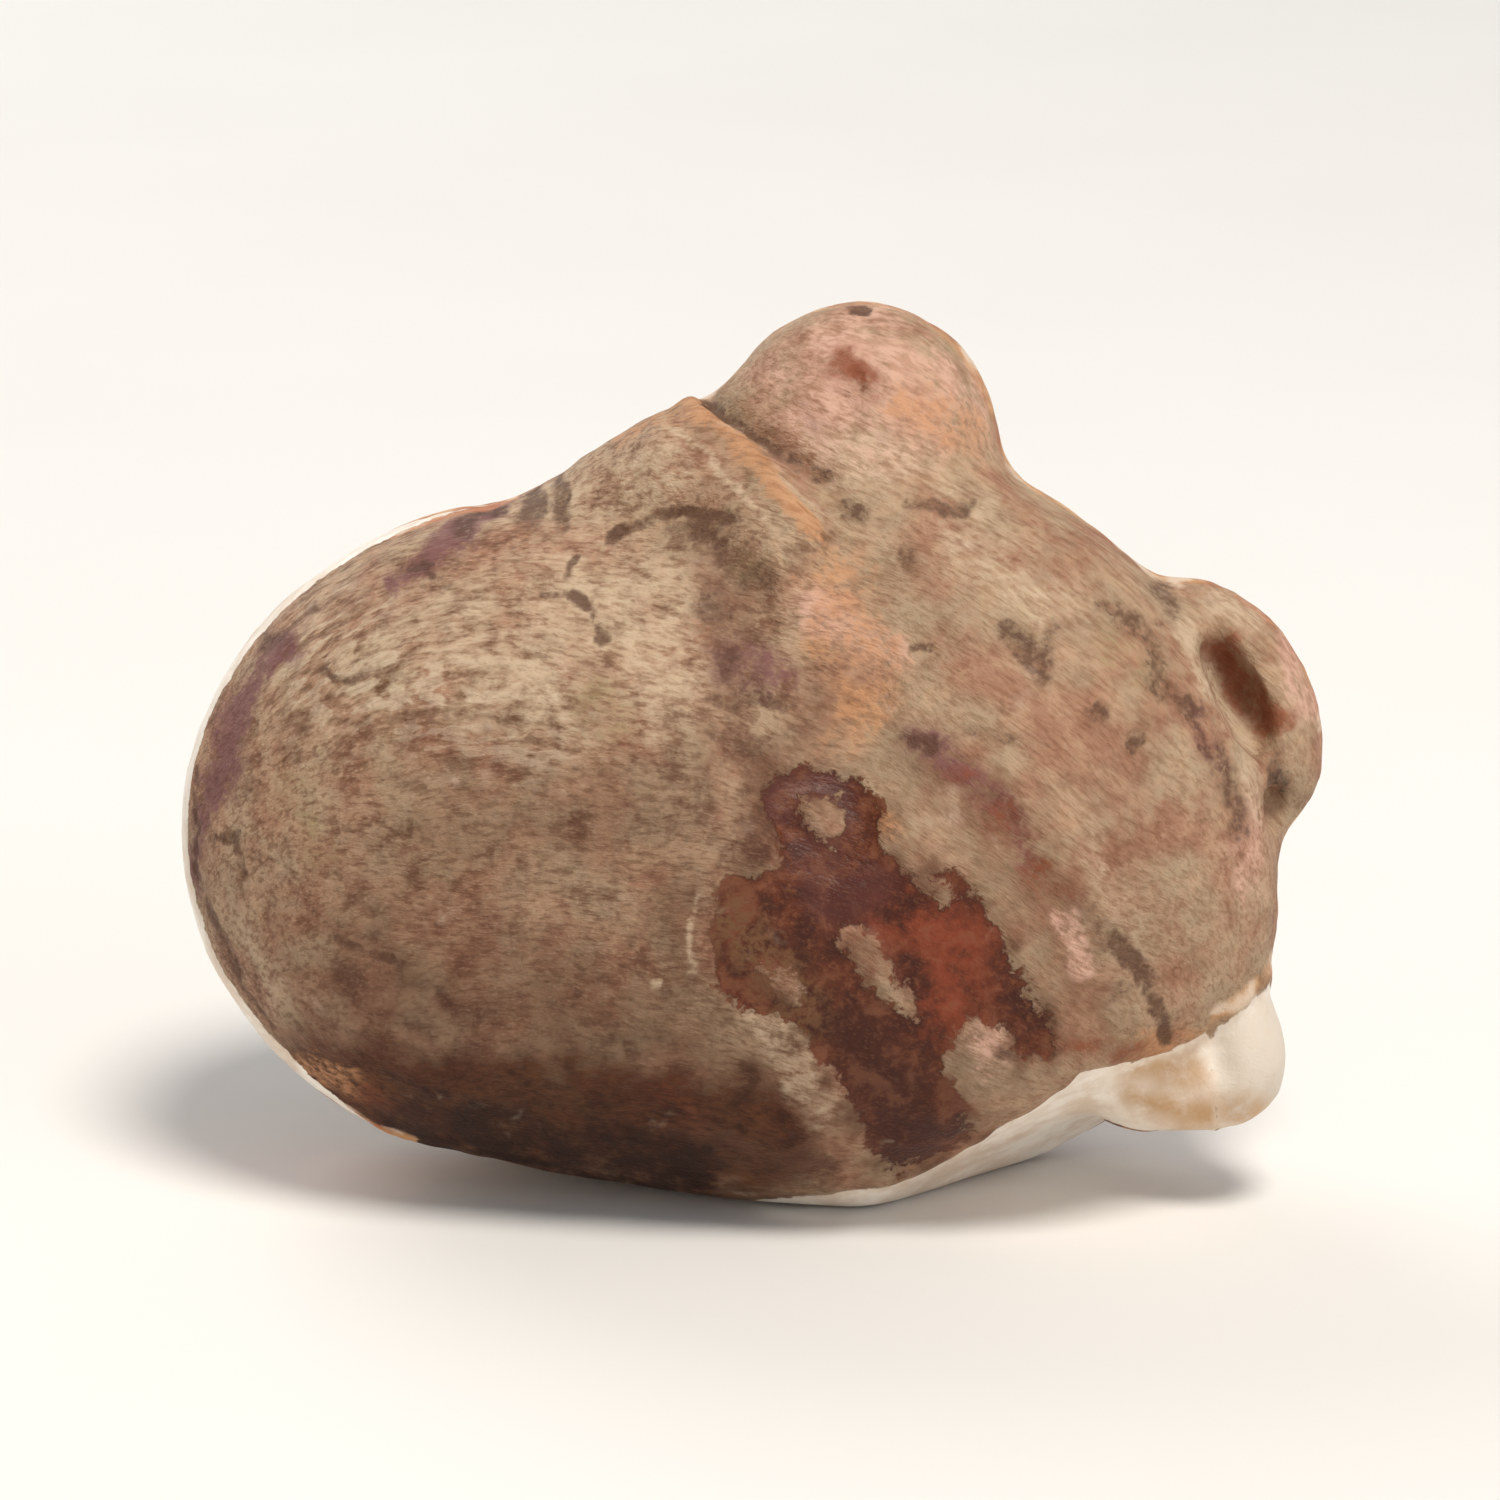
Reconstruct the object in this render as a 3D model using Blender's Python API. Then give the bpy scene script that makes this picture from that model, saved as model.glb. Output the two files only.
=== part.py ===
"""A water chestnut kernel, shelled, with its papery brown skin left on.

The kernel grew as one piece: two plump lobes side by side, a folded crest and a knob on top, a
hollow ear on the right and a small pale tip low on the right. It stands on a small flat spot,
leaning back a little. Its broad front looks to -Y, +Z is up, and the origin is in the flat
spot's plane, at the middle of the kernel's box. The sizes below are in millimetres; the mesh is
in metres.

Run it with: blender --background --python part.py
"""

import math
from dataclasses import dataclass

import bmesh
import bpy
import numpy as np
from mathutils import Euler, Matrix, Vector

# Radii are half sizes: across (X), front to back (Y) and up (Z).
LOBE_SPACING = 13.2
LEFT_LOBE_RADII = (12.7, 9.2, 11.5)
LEFT_LOBE_DROP = 0.75
RIGHT_LOBE_RADII = (11.2, 8.2, 13.0)
RIGHT_LOBE_DROP = 1.35
RIGHT_LOBE_SLOPE = -20.0
BELLY_RADII = (9.6, 8.6, 9.8)
BELLY_DROP = 3.2
BELLY_SET_BACK = 0.4
SADDLE_RADII = (5.6, 4.8, 4.2)
CREST_RADII = (2.3, 3.0, 4.6)
KNOB_RADII = (4.6, 4.3, 4.7)
EAR_RADII = (2.9, 3.0, 4.6)
EAR_HOLLOW_RADII = (0.85, 1.5, 2.5)
EAR_PIT_RADII = (0.7, 1.0, 0.9)
KNOB_PIT_RADII = (0.75, 0.6, 0.65)
TIP_RADII = (1.7, 2.0, 2.4)
TIP_BASE_RADII = (1.9, 2.3, 2.9)
VALLEY_RADIUS = 3.2
VALLEY_DEPTH = 0.55
FOLD_RADIUS = 0.95
FOLD_PROUD = 0.45

# Angles on the front view, in degrees: 0 is straight up and 90 is straight to the right.
CREST_SLOPE = 63.0
EAR_SLOPE = -24.0
TIP_BASE_SLOPE = 72.0

# The blunt margin band between the two faces, and how softly the lobes run together.
MARGIN_TRIM = 0.3
MARGIN_SOFTNESS = 0.6
LOBE_BLEND = 4.0

LEAN_BACK = 9.0
ROLL_LEFT = 2.5
FLAT_SPOT_DEPTH = 0.8
KNIFE_CUT_SLOPE = 27.0
KNIFE_CUT_TURN = 19.0
KNIFE_CUT_DEPTH = 2.1

SPHERE_DETAIL = 6
KEPT_FACES = 0.28
RAY_LENGTH = 40.0
RAY_STEPS = 160
HALVINGS = 12
SETTLING_STEPS = 50

SKIN_COLOUR = (0.355, 0.215, 0.135, 1.0)
SKIN_ROUGHNESS = 0.62
KERNEL = "kernel"
MM = 0.001


@dataclass
class Form:
    """One rounded form: an ellipsoid turned by slope degrees on the front view."""

    name: str
    centre: tuple
    radii: tuple
    slope: float = 0.0
    blend: float = 1.0

    def turn(self):
        """The form's rotation about Y."""
        return Euler((0.0, math.radians(self.slope), 0.0)).to_matrix()

    def placement(self):
        """The matrix that carries a unit sphere onto the form."""
        stretch = Matrix.Diagonal((*self.radii, 1.0))
        return Matrix.Translation(self.centre) @ self.turn().to_4x4() @ stretch

    def distance(self, points):
        """About how far each point is outside the form, below zero inside it."""
        radii = np.array(self.radii)
        scaled = (points - np.array(self.centre)) @ np.array(self.turn()) / radii
        reach = np.linalg.norm(scaled, axis=1)
        steepness = np.linalg.norm(scaled / radii, axis=1)
        return reach * (reach - 1.0) / np.maximum(steepness, 1e-9)


@dataclass
class Fold:
    """A raised fold of even thickness that follows a path."""

    path: list
    radius: float
    blend: float

    def distance(self, points):
        """How far each point is from the nearest stretch of the fold."""
        nearest = np.full(len(points), 1e9)
        for start, end in zip(self.path[:-1], self.path[1:]):
            start, along = np.array(start), np.array(end) - np.array(start)
            share = np.clip((points - start) @ along / (along @ along), 0.0, 1.0)
            gap = np.linalg.norm(points - start - share[:, None] * along, axis=1)
            nearest = np.minimum(nearest, gap)
        return nearest - self.radius


def soft_union(one, other, width):
    """Join two distances, rounding the inside corner between them over width."""
    share = np.clip(0.5 + 0.5 * (other - one) / width, 0.0, 1.0)
    return other * (1.0 - share) + one * share - width * share * (1.0 - share)


def soft_common(one, other, width):
    """Keep what is inside both, rounding the outside corner between them over width."""
    return -soft_union(-one, -other, width)


def lobes():
    """The two lobes, and the belly and the saddle that fill the notches between them."""
    half = LOBE_SPACING / 2
    top = RIGHT_LOBE_RADII[2] - RIGHT_LOBE_DROP
    return [
        Form("left_lobe", (-half, 0.0, -LEFT_LOBE_DROP), LEFT_LOBE_RADII),
        Form("right_lobe", (half, 0.0, -RIGHT_LOBE_DROP), RIGHT_LOBE_RADII, RIGHT_LOBE_SLOPE),
        Form("belly", (0.4, BELLY_SET_BACK, -BELLY_DROP), BELLY_RADII),
        Form("saddle", (0.42 * half, 0.3, top - 4.6), SADDLE_RADII),
    ]


def lobes_distance(points):
    """The lobes, the belly and the saddle as one soft body."""
    joined = None
    for form in lobes():
        near = form.distance(points)
        joined = near if joined is None else soft_union(joined, near, LOBE_BLEND)
    return joined


def crest():
    """The swelling along the top of the left lobe that the fold starts from."""
    half = LOBE_SPACING / 2
    top = LEFT_LOBE_RADII[2] - LEFT_LOBE_DROP
    return Form("crest", (-0.42 * half, -0.4, top - 0.2), CREST_RADII, CREST_SLOPE, 1.6)


def on_face(across, up, proud, side):
    """The point of the front (side -1) or the back (side 1) face here, moved out by proud."""
    depths = np.linspace(20.0, 0.0, 401) * side
    line = np.column_stack([np.full_like(depths, across), depths, np.full_like(depths, up)])
    swollen = crest()
    near = soft_union(lobes_distance(line), swollen.distance(line), swollen.blend)
    inside = np.flatnonzero(near < 0.0)
    depth = depths[inside[0]] if len(inside) else depths[np.argmin(near)]
    return (across, depth + side * proud, up)


def fold():
    """The fold that runs from the crest's tip down into the valley between the lobes."""
    half = LOBE_SPACING / 2
    top = LEFT_LOBE_RADII[2] - LEFT_LOBE_DROP
    places = [(-0.26 * half, top + 1.0), (-0.06 * half, top + 0.4), (0.14 * half, top - 0.8)]
    places += [(0.30 * half, top - 2.4), (0.42 * half, top - 4.0)]
    path = []
    for place, share in zip(places, (0.9, 1.0, 0.8, 0.1, -1.6)):
        path.append(on_face(*place, share * FOLD_PROUD - FOLD_RADIUS, -1))
    return Fold(path, FOLD_RADIUS, 1.6)


def valley(side):
    """The groove between the lobes on one face, which fades out on its way down."""
    half = LOBE_SPACING / 2
    top = LEFT_LOBE_RADII[2] - LEFT_LOBE_DROP
    places = [(0.50 * half, top - 2.2), (0.58 * half, top - 5.0)]
    places += [(0.60 * half, top - 7.6), (0.50 * half, top - 10.5)]
    depths = [VALLEY_DEPTH * share for share in (0.9, 1.0, 0.4, -1.2)]
    path = []
    for place, depth in zip(places, depths):
        path.append(on_face(*place, VALLEY_RADIUS - depth, side))
    return Fold(path, VALLEY_RADIUS, 2.6)


def small_forms():
    """The forms that stand proud of the lobes, placed from the lobes' own sizes."""
    half = LOBE_SPACING / 2
    right_side = half + RIGHT_LOBE_RADII[0]
    right_top = RIGHT_LOBE_RADII[2] - RIGHT_LOBE_DROP
    low = -RIGHT_LOBE_DROP - RIGHT_LOBE_RADII[2]
    return [
        crest(),
        Form("knob", (0.61 * half, 0.7, right_top + 0.4), KNOB_RADII, 0.0, 1.6),
        Form("ear", (right_side - 1.7, 0.7, 2.9), EAR_RADII, EAR_SLOPE, 1.0),
        Form("tip", (right_side - 1.5, -1.2, low + 5.8), TIP_RADII, 0.0, 1.2),
        Form(
            "tip_base", (right_side - 3.4, -0.9, low + 5.0), TIP_BASE_RADII, TIP_BASE_SLOPE, 1.6
        ),
        fold(),
    ]


def hollows():
    """The cavities that are cut into the ear and the knob."""
    knob, ear = [form for form in small_forms()[:3] if form.name in ("knob", "ear")]
    ear_front = ear.centre[1] - 0.80 * EAR_RADII[1]
    knob_front = knob.centre[1] - 0.93 * KNOB_RADII[1]
    return [
        Form(
            "ear_hollow",
            (ear.centre[0] + 0.35, ear_front, ear.centre[2] + 0.6),
            EAR_HOLLOW_RADII,
            EAR_SLOPE,
        ),
        Form(
            "ear_pit",
            (ear.centre[0] + 1.4, ear_front + 0.5, ear.centre[2] - 3.1),
            EAR_PIT_RADII,
            EAR_SLOPE,
        ),
        Form(
            "knob_pit",
            (knob.centre[0], knob_front, knob.centre[2] + 1.5),
            KNOB_PIT_RADII,
            35.0,
        ),
    ]


def knife_cut():
    """A point on the knife cut and its outward direction: down, to the right and forwards."""
    slope, turn = math.radians(KNIFE_CUT_SLOPE), math.radians(KNIFE_CUT_TURN)
    outward = Vector((math.sin(slope), 0.0, -math.cos(slope))) * math.cos(turn)
    outward.y = -math.sin(turn)
    low = -RIGHT_LOBE_DROP - RIGHT_LOBE_RADII[2]
    return Vector((LOBE_SPACING / 2 + 1.6, 0.0, low + KNIFE_CUT_DEPTH)), outward


def kernel_distance(points):
    """The whole kernel: lobes, margin band, valleys and knife cut, then the small forms."""
    outline = lobes_distance(points * np.array([1.0, 0.0, 1.0])) + MARGIN_TRIM
    body = soft_common(lobes_distance(points), outline, MARGIN_SOFTNESS)
    for side in (-1, 1):
        groove = valley(side)
        body = soft_common(body, -groove.distance(points), groove.blend)
    on_cut, outward = knife_cut()
    cut = (points - np.array(on_cut)) @ np.array(outward)
    body = soft_common(body, cut, 0.25)
    for form in small_forms():
        body = soft_union(body, form.distance(points), form.blend)
    return body


def first_crossing(directions):
    """How far out along each direction the kernel's outermost surface lies."""
    outer = np.full(len(directions), RAY_LENGTH)
    found = np.zeros(len(directions), dtype=bool)
    for step in np.linspace(RAY_LENGTH, 0.0, RAY_STEPS):
        found |= kernel_distance(directions * step) < 0.0
        outer[~found] = step
    inner = outer - RAY_LENGTH / (RAY_STEPS - 1)
    for _ in range(HALVINGS):
        middle = (inner + outer) / 2
        inside = kernel_distance(directions * middle[:, None]) < 0.0
        inner = np.where(inside, middle, inner)
        outer = np.where(inside, outer, middle)
    return (inner + outer) / 2


def onto_surface(points):
    """Move points that lie near the surface onto it."""
    gap = kernel_distance(points)
    nudge = 0.01
    slope = np.empty_like(points)
    for axis in range(3):
        moved = points.copy()
        moved[:, axis] += nudge
        slope[:, axis] = (kernel_distance(moved) - gap) / nudge
    steepness = np.maximum((slope**2).sum(axis=1), 0.2)
    return points - slope * (gap / steepness)[:, None]


def settled(points, edges):
    """Spread the points evenly over the surface: average with neighbours, then go back to it."""
    counts = np.bincount(edges.ravel(), minlength=len(points))[:, None]
    for _ in range(SETTLING_STEPS):
        total = np.zeros_like(points)
        np.add.at(total, edges[:, 0], points[edges[:, 1]])
        np.add.at(total, edges[:, 1], points[edges[:, 0]])
        points = onto_surface(0.5 * points + 0.5 * total / counts)
    return onto_surface(points)


def clear_scene():
    """Remove whatever the file opened with."""
    for obj in list(bpy.data.objects):
        bpy.data.objects.remove(obj)


def collection_named(name):
    """A new collection linked to the scene."""
    made = bpy.data.collections.new(name)
    bpy.context.scene.collection.children.link(made)
    return made


def object_from(bm, name, collection):
    """A mesh object made from a bmesh, which is freed."""
    mesh = bpy.data.meshes.new(name)
    bm.to_mesh(mesh)
    bm.free()
    obj = bpy.data.objects.new(name, mesh)
    collection.objects.link(obj)
    return obj


def grown_body(collection):
    """A sphere whose points are moved in and out until they lie on the kernel's surface."""
    bm = bmesh.new()
    bmesh.ops.create_icosphere(bm, subdivisions=SPHERE_DETAIL, radius=1.0)
    bm.verts.ensure_lookup_table()
    bm.verts.index_update()
    directions = np.array([vert.co.normalized() for vert in bm.verts])
    edges = np.array([[vert.index for vert in edge.verts] for edge in bm.edges])
    reach = first_crossing(directions)
    points = settled(directions * reach[:, None], edges)
    for vert, point in zip(bm.verts, points):
        vert.co = Vector(point)
    return object_from(bm, KERNEL, collection)


def ellipsoid_cutter(form, collection):
    """A cutter in the shape of one hollow."""
    bm = bmesh.new()
    bmesh.ops.create_icosphere(bm, subdivisions=3, radius=1.0)
    bm.transform(form.placement())
    return object_from(bm, form.name, collection)


def flat_spot_cutter(lowest, collection):
    """A block whose top face lies the flat spot's depth above the lowest point."""
    bm = bmesh.new()
    bmesh.ops.create_cube(bm, size=80.0)
    top = lowest + FLAT_SPOT_DEPTH
    bmesh.ops.translate(bm, verts=bm.verts, vec=(0.0, 0.0, top - 40.0))
    return object_from(bm, "flat_spot", collection)


def apply_modifiers(obj):
    """Bake the modifiers into the mesh."""
    depsgraph = bpy.context.evaluated_depsgraph_get()
    baked = bpy.data.meshes.new_from_object(obj.evaluated_get(depsgraph))
    obj.modifiers.clear()
    obj.data = baked


def cut_away(obj, cutter):
    """Add an exact Boolean cut."""
    cutter.hide_render = True
    cutter.display_type = "WIRE"
    cut = obj.modifiers.new(cutter.name, "BOOLEAN")
    cut.operation = "DIFFERENCE"
    cut.solver = "EXACT"
    cut.object = cutter


def thin_out(obj):
    """Merge faces where the surface is nearly flat."""
    fewer = obj.modifiers.new("fewer_faces", "DECIMATE")
    fewer.decimate_type = "COLLAPSE"
    fewer.ratio = KEPT_FACES
    fewer.use_collapse_triangulate = True
    apply_modifiers(obj)


def lean(obj):
    """Lay the kernel back about X and roll it a little to the left about Y."""
    roll = Matrix.Rotation(math.radians(-ROLL_LEFT), 4, "Y")
    obj.data.transform(Matrix.Rotation(math.radians(-LEAN_BACK), 4, "X") @ roll)


def bounds_of(obj):
    """The lowest and the highest corner of the mesh."""
    points = np.array([vert.co for vert in obj.data.vertices])
    return points.min(axis=0), points.max(axis=0)


def settle_on_origin(obj):
    """Put the origin under the middle of the box and turn millimetres into metres."""
    low, high = bounds_of(obj)
    middle = (low + high) / 2
    obj.data.transform(Matrix.Translation((-middle[0], -middle[1], -low[2])))
    obj.data.transform(Matrix.Scale(MM, 4))


def skin_material():
    """Matte papery brown skin."""
    skin = bpy.data.materials.new("papery_skin")
    skin.use_nodes = True
    shader = skin.node_tree.nodes["Principled BSDF"]
    shader.inputs["Base Color"].default_value = SKIN_COLOUR
    shader.inputs["Roughness"].default_value = SKIN_ROUGHNESS
    shader.inputs["Metallic"].default_value = 0.0
    skin.diffuse_color = SKIN_COLOUR
    return skin


def main():
    """Grow the kernel, hollow it, lean it back and cut the flat spot."""
    clear_scene()
    shown = collection_named("water_chestnut")
    cutters = collection_named("cutters")
    kernel = grown_body(shown)
    thin_out(kernel)
    for form in hollows():
        cut_away(kernel, ellipsoid_cutter(form, cutters))
    apply_modifiers(kernel)
    lean(kernel)
    low, _ = bounds_of(kernel)
    cut_away(kernel, flat_spot_cutter(low[2], cutters))
    apply_modifiers(kernel)
    settle_on_origin(kernel)
    for cutter in list(cutters.objects):
        cutter.data.transform(Matrix.Scale(MM, 4))
    kernel.data.materials.clear()
    kernel.data.materials.append(skin_material())


main()
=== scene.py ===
"""One shelled water chestnut kernel: its skin, its bare flesh and a plain studio round it.

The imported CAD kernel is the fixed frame. The skin piece starts from that solid, is
smoothed finely and then grown over with lumps, fibres, creases and flaked coat.
Lengths in this file are millimetres unless a name says otherwise.
"""

from __future__ import annotations

import logging
import math
from dataclasses import dataclass
from enum import Enum

import bpy
import numpy as np
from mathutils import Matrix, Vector


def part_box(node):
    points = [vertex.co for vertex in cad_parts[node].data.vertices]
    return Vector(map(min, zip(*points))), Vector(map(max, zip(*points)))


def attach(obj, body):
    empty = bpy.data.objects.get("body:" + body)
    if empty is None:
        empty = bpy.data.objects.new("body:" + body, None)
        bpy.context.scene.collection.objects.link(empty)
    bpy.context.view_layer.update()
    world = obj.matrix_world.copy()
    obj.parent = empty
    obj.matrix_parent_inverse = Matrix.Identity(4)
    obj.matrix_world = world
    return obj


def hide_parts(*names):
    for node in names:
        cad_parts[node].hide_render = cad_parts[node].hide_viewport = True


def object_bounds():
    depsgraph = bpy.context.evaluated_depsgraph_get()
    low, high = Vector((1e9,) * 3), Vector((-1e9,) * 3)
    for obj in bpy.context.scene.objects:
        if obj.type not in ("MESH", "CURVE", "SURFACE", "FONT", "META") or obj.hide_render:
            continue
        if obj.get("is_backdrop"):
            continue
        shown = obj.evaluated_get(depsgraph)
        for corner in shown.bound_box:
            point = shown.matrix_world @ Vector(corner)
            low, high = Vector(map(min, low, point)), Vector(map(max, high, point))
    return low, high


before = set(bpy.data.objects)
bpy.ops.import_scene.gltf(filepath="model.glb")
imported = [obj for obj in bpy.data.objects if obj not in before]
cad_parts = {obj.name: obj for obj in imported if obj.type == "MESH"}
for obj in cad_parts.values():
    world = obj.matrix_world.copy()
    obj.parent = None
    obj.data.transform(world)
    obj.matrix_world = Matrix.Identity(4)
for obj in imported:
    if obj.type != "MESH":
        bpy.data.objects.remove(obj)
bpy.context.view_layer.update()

METRES = 0.001
NODE = "kernel"
BODY = "root"

log = logging.getLogger("water_chestnut")

Path = tuple[tuple[float, float], ...]
Point = tuple[float, float, float]
Sockets = dict[str, bpy.types.NodeSocket]

IN_SIGHT = 0.02  # how far a surface must face a side before that side's outlines count on it
NOT_FLAKED = -3.0  # the depth of a point that no flaked patch reaches
NOT_BARE = -2.0  # the depth of a point that no bare flesh reaches


def linear(hex_colour: str) -> tuple[float, float, float, float]:
    """Turns an sRGB hex colour into the linear colour that a shader takes.

    Args:
        hex_colour: The colour as "#rrggbb".

    Returns:
        Linear red, green and blue, with an alpha of one.
    """
    shares = [int(hex_colour[i : i + 2], 16) / 255 for i in (1, 3, 5)]
    r, g, b = (c / 12.92 if c <= 0.04045 else ((c + 0.055) / 1.055) ** 2.4 for c in shares)
    return (r, g, b, 1.0)


def ease(low: float, high: float, value: np.ndarray) -> np.ndarray:
    """Rises smoothly from 0 at low to 1 at high.

    Args:
        low: Where the rise starts.
        high: Where it ends.
        value: The numbers to turn.

    Returns:
        One number from 0 to 1 for each value.
    """
    share = np.clip((value - low) / (high - low), 0.0, 1.0)
    return share * share * (3.0 - 2.0 * share)


def turn(axis: str, degrees: float) -> np.ndarray:
    """Makes a rotation about a main axis.

    Args:
        axis: The axis, "x" or "y".
        degrees: How far it turns.

    Returns:
        The 3 by 3 rotation matrix.
    """
    c, s = math.cos(math.radians(degrees)), math.sin(math.radians(degrees))
    if axis == "x":
        return np.array([[1, 0, 0], [0, c, -s], [0, s, c]])
    return np.array([[c, 0, s], [0, 1, 0], [-s, 0, c]])


class Uneven:
    """Smooth seeded noise through space, for everything that grew unevenly."""

    def __init__(self, seed: int) -> None:
        """Draws the slopes that the noise is made of.

        Args:
            seed: The draw's seed, so every run gives the same kernel.
        """
        draw = np.random.default_rng(seed)
        slopes = draw.normal(size=(256, 3))
        self.slopes = slopes / np.linalg.norm(slopes, axis=1, keepdims=True)
        self.order = draw.permutation(256)

    def single(self, points: np.ndarray) -> np.ndarray:
        """Gives one layer of noise with a wavelength of one.

        Args:
            points: The places, one row each.

        Returns:
            A number of about -1 to 1 for each place.
        """
        cell = np.floor(points).astype(int)
        inside = points - cell
        fade = inside**3 * (inside * (inside * 6 - 15) + 10)
        total = np.zeros(len(points))
        for corner in np.ndindex(2, 2, 2):
            at = cell + corner
            pick = self.order[at[:, 2] & 255]
            pick = self.order[(at[:, 1] + pick) & 255]
            pick = self.order[(at[:, 0] + pick) & 255]
            height = np.einsum("ij,ij->i", self.slopes[pick], inside - corner)
            weight = np.where(corner, fade, 1 - fade).prod(axis=1)
            total += weight * height
        return total * 1.6

    def at(self, points: np.ndarray, wavelength: float, layers: int = 1) -> np.ndarray:
        """Gives layered noise.

        Args:
            points: The places, one row each.
            wavelength: The size of the widest lumps.
            layers: How many layers, each of half the size and height.

        Returns:
            A number of about -1 to 1 for each place.
        """
        total = np.zeros(len(points))
        for layer in range(layers):
            shift = 13.7 * layer + 5.1
            total += self.single(points * 2**layer / wavelength + shift) / 2**layer
        return total / (2 - 0.5 ** (layers - 1))


@dataclass(frozen=True)
class Outlook:
    """A direction to look at the kernel from, which flattens it to across and up."""

    azimuth: float
    elevation: float

    def axes(self) -> tuple[np.ndarray, np.ndarray, np.ndarray]:
        """Gives the directions right, up and away as seen from here."""
        a, e = math.radians(self.azimuth), math.radians(self.elevation)
        right = np.array([math.cos(a), math.sin(a), 0.0])
        away = np.array([-math.sin(a) * math.cos(e), math.cos(a) * math.cos(e), -math.sin(e)])
        return right, np.cross(right, away), away

    def flatten(self, points: np.ndarray, middle: np.ndarray) -> np.ndarray:
        """Gives each point's place across and up, measured from the middle.

        Args:
            points: The places, one row each.
            middle: The middle of the kernel's box.

        Returns:
            Across and up for each point, one row each.
        """
        right, up, _ = self.axes()
        return np.stack([(points - middle) @ right, (points - middle) @ up], axis=1)

    def facing(self, normals: np.ndarray) -> np.ndarray:
        """Gives 1 where the surface faces this way, fading to 0 at its outline."""
        return ease(0.0, 0.22, -(normals @ self.axes()[2]))


def distance_to_path(places: np.ndarray, path: Path) -> np.ndarray:
    """Measures how far each place is from a line of straight runs.

    Args:
        places: Across and up for each point.
        path: The line's corners.

    Returns:
        The distance from each place to the nearest run.
    """
    best = np.full(len(places), 1e9)
    if len(path) == 1:
        return np.linalg.norm(places - np.array(path[0]), axis=1)
    for start, end in zip(path[:-1], path[1:]):
        a, run = np.array(start), np.array(end) - np.array(start)
        share = np.clip((places - a) @ run / (run @ run), 0, 1)
        gap = np.linalg.norm(places - a - share[:, None] * run, axis=1)
        best = np.minimum(best, gap)
    return best


@dataclass(frozen=True)
class Mark:
    """A stain, crease or spot drawn along a line with a soft, ragged edge."""

    path: Path
    width: float
    strength: float = 1.0
    ragged: float = 0.35
    softness: float = 0.6

    def cover(self, places: np.ndarray, rag: np.ndarray) -> np.ndarray:
        """Gives how strongly the mark covers each place.

        Args:
            places: Across and up for each point.
            rag: The noise that frays the edge, about -1 to 1.

        Returns:
            From 0 off the mark to its strength at its middle.
        """
        gap = distance_to_path(places, self.path) / self.width + self.ragged * rag
        return self.strength * (1 - ease(0.75 - self.softness, 1.35, gap))


@dataclass(frozen=True)
class Shape:
    """An area with a closed outline."""

    outline: Path

    def depth(self, places: np.ndarray) -> np.ndarray:
        """Measures how deep inside the outline each place lies.

        Args:
            places: Across and up for each point.

        Returns:
            The distance to the outline, negative outside it.
        """
        gap = distance_to_path(places, self.outline + self.outline[:1])
        inside = np.zeros(len(places), bool)
        x, y = places[:, 0], places[:, 1]
        for (ax, ay), (bx, by) in zip(self.outline, self.outline[1:] + self.outline[:1]):
            crosses = (ay > y) != (by > y)
            rise = by - ay if by != ay else 1e-9
            inside ^= crosses & (x < (bx - ax) * (y - ay) / rise + ax)
        return np.where(inside, gap, -gap)


class Stain(Enum):
    """The stains the coat carries, in the order they lie on it. Brown, umber and black also carry painted
    shade: brown on the lower sides and under creases, umber in the creases, black along the underside.
    """

    BROWN = "brown"
    PALE = "pale"
    OLIVE = "olive"
    PINK = "pink"
    HONEY = "honey"
    PURPLE = "purple"
    UMBER_AND_SHADE = "umber"
    MAROON = "maroon"
    BLACK = "black_and_shade"


FRONT = Outlook(5, 16)
BACK = Outlook(185, 16)

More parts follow.
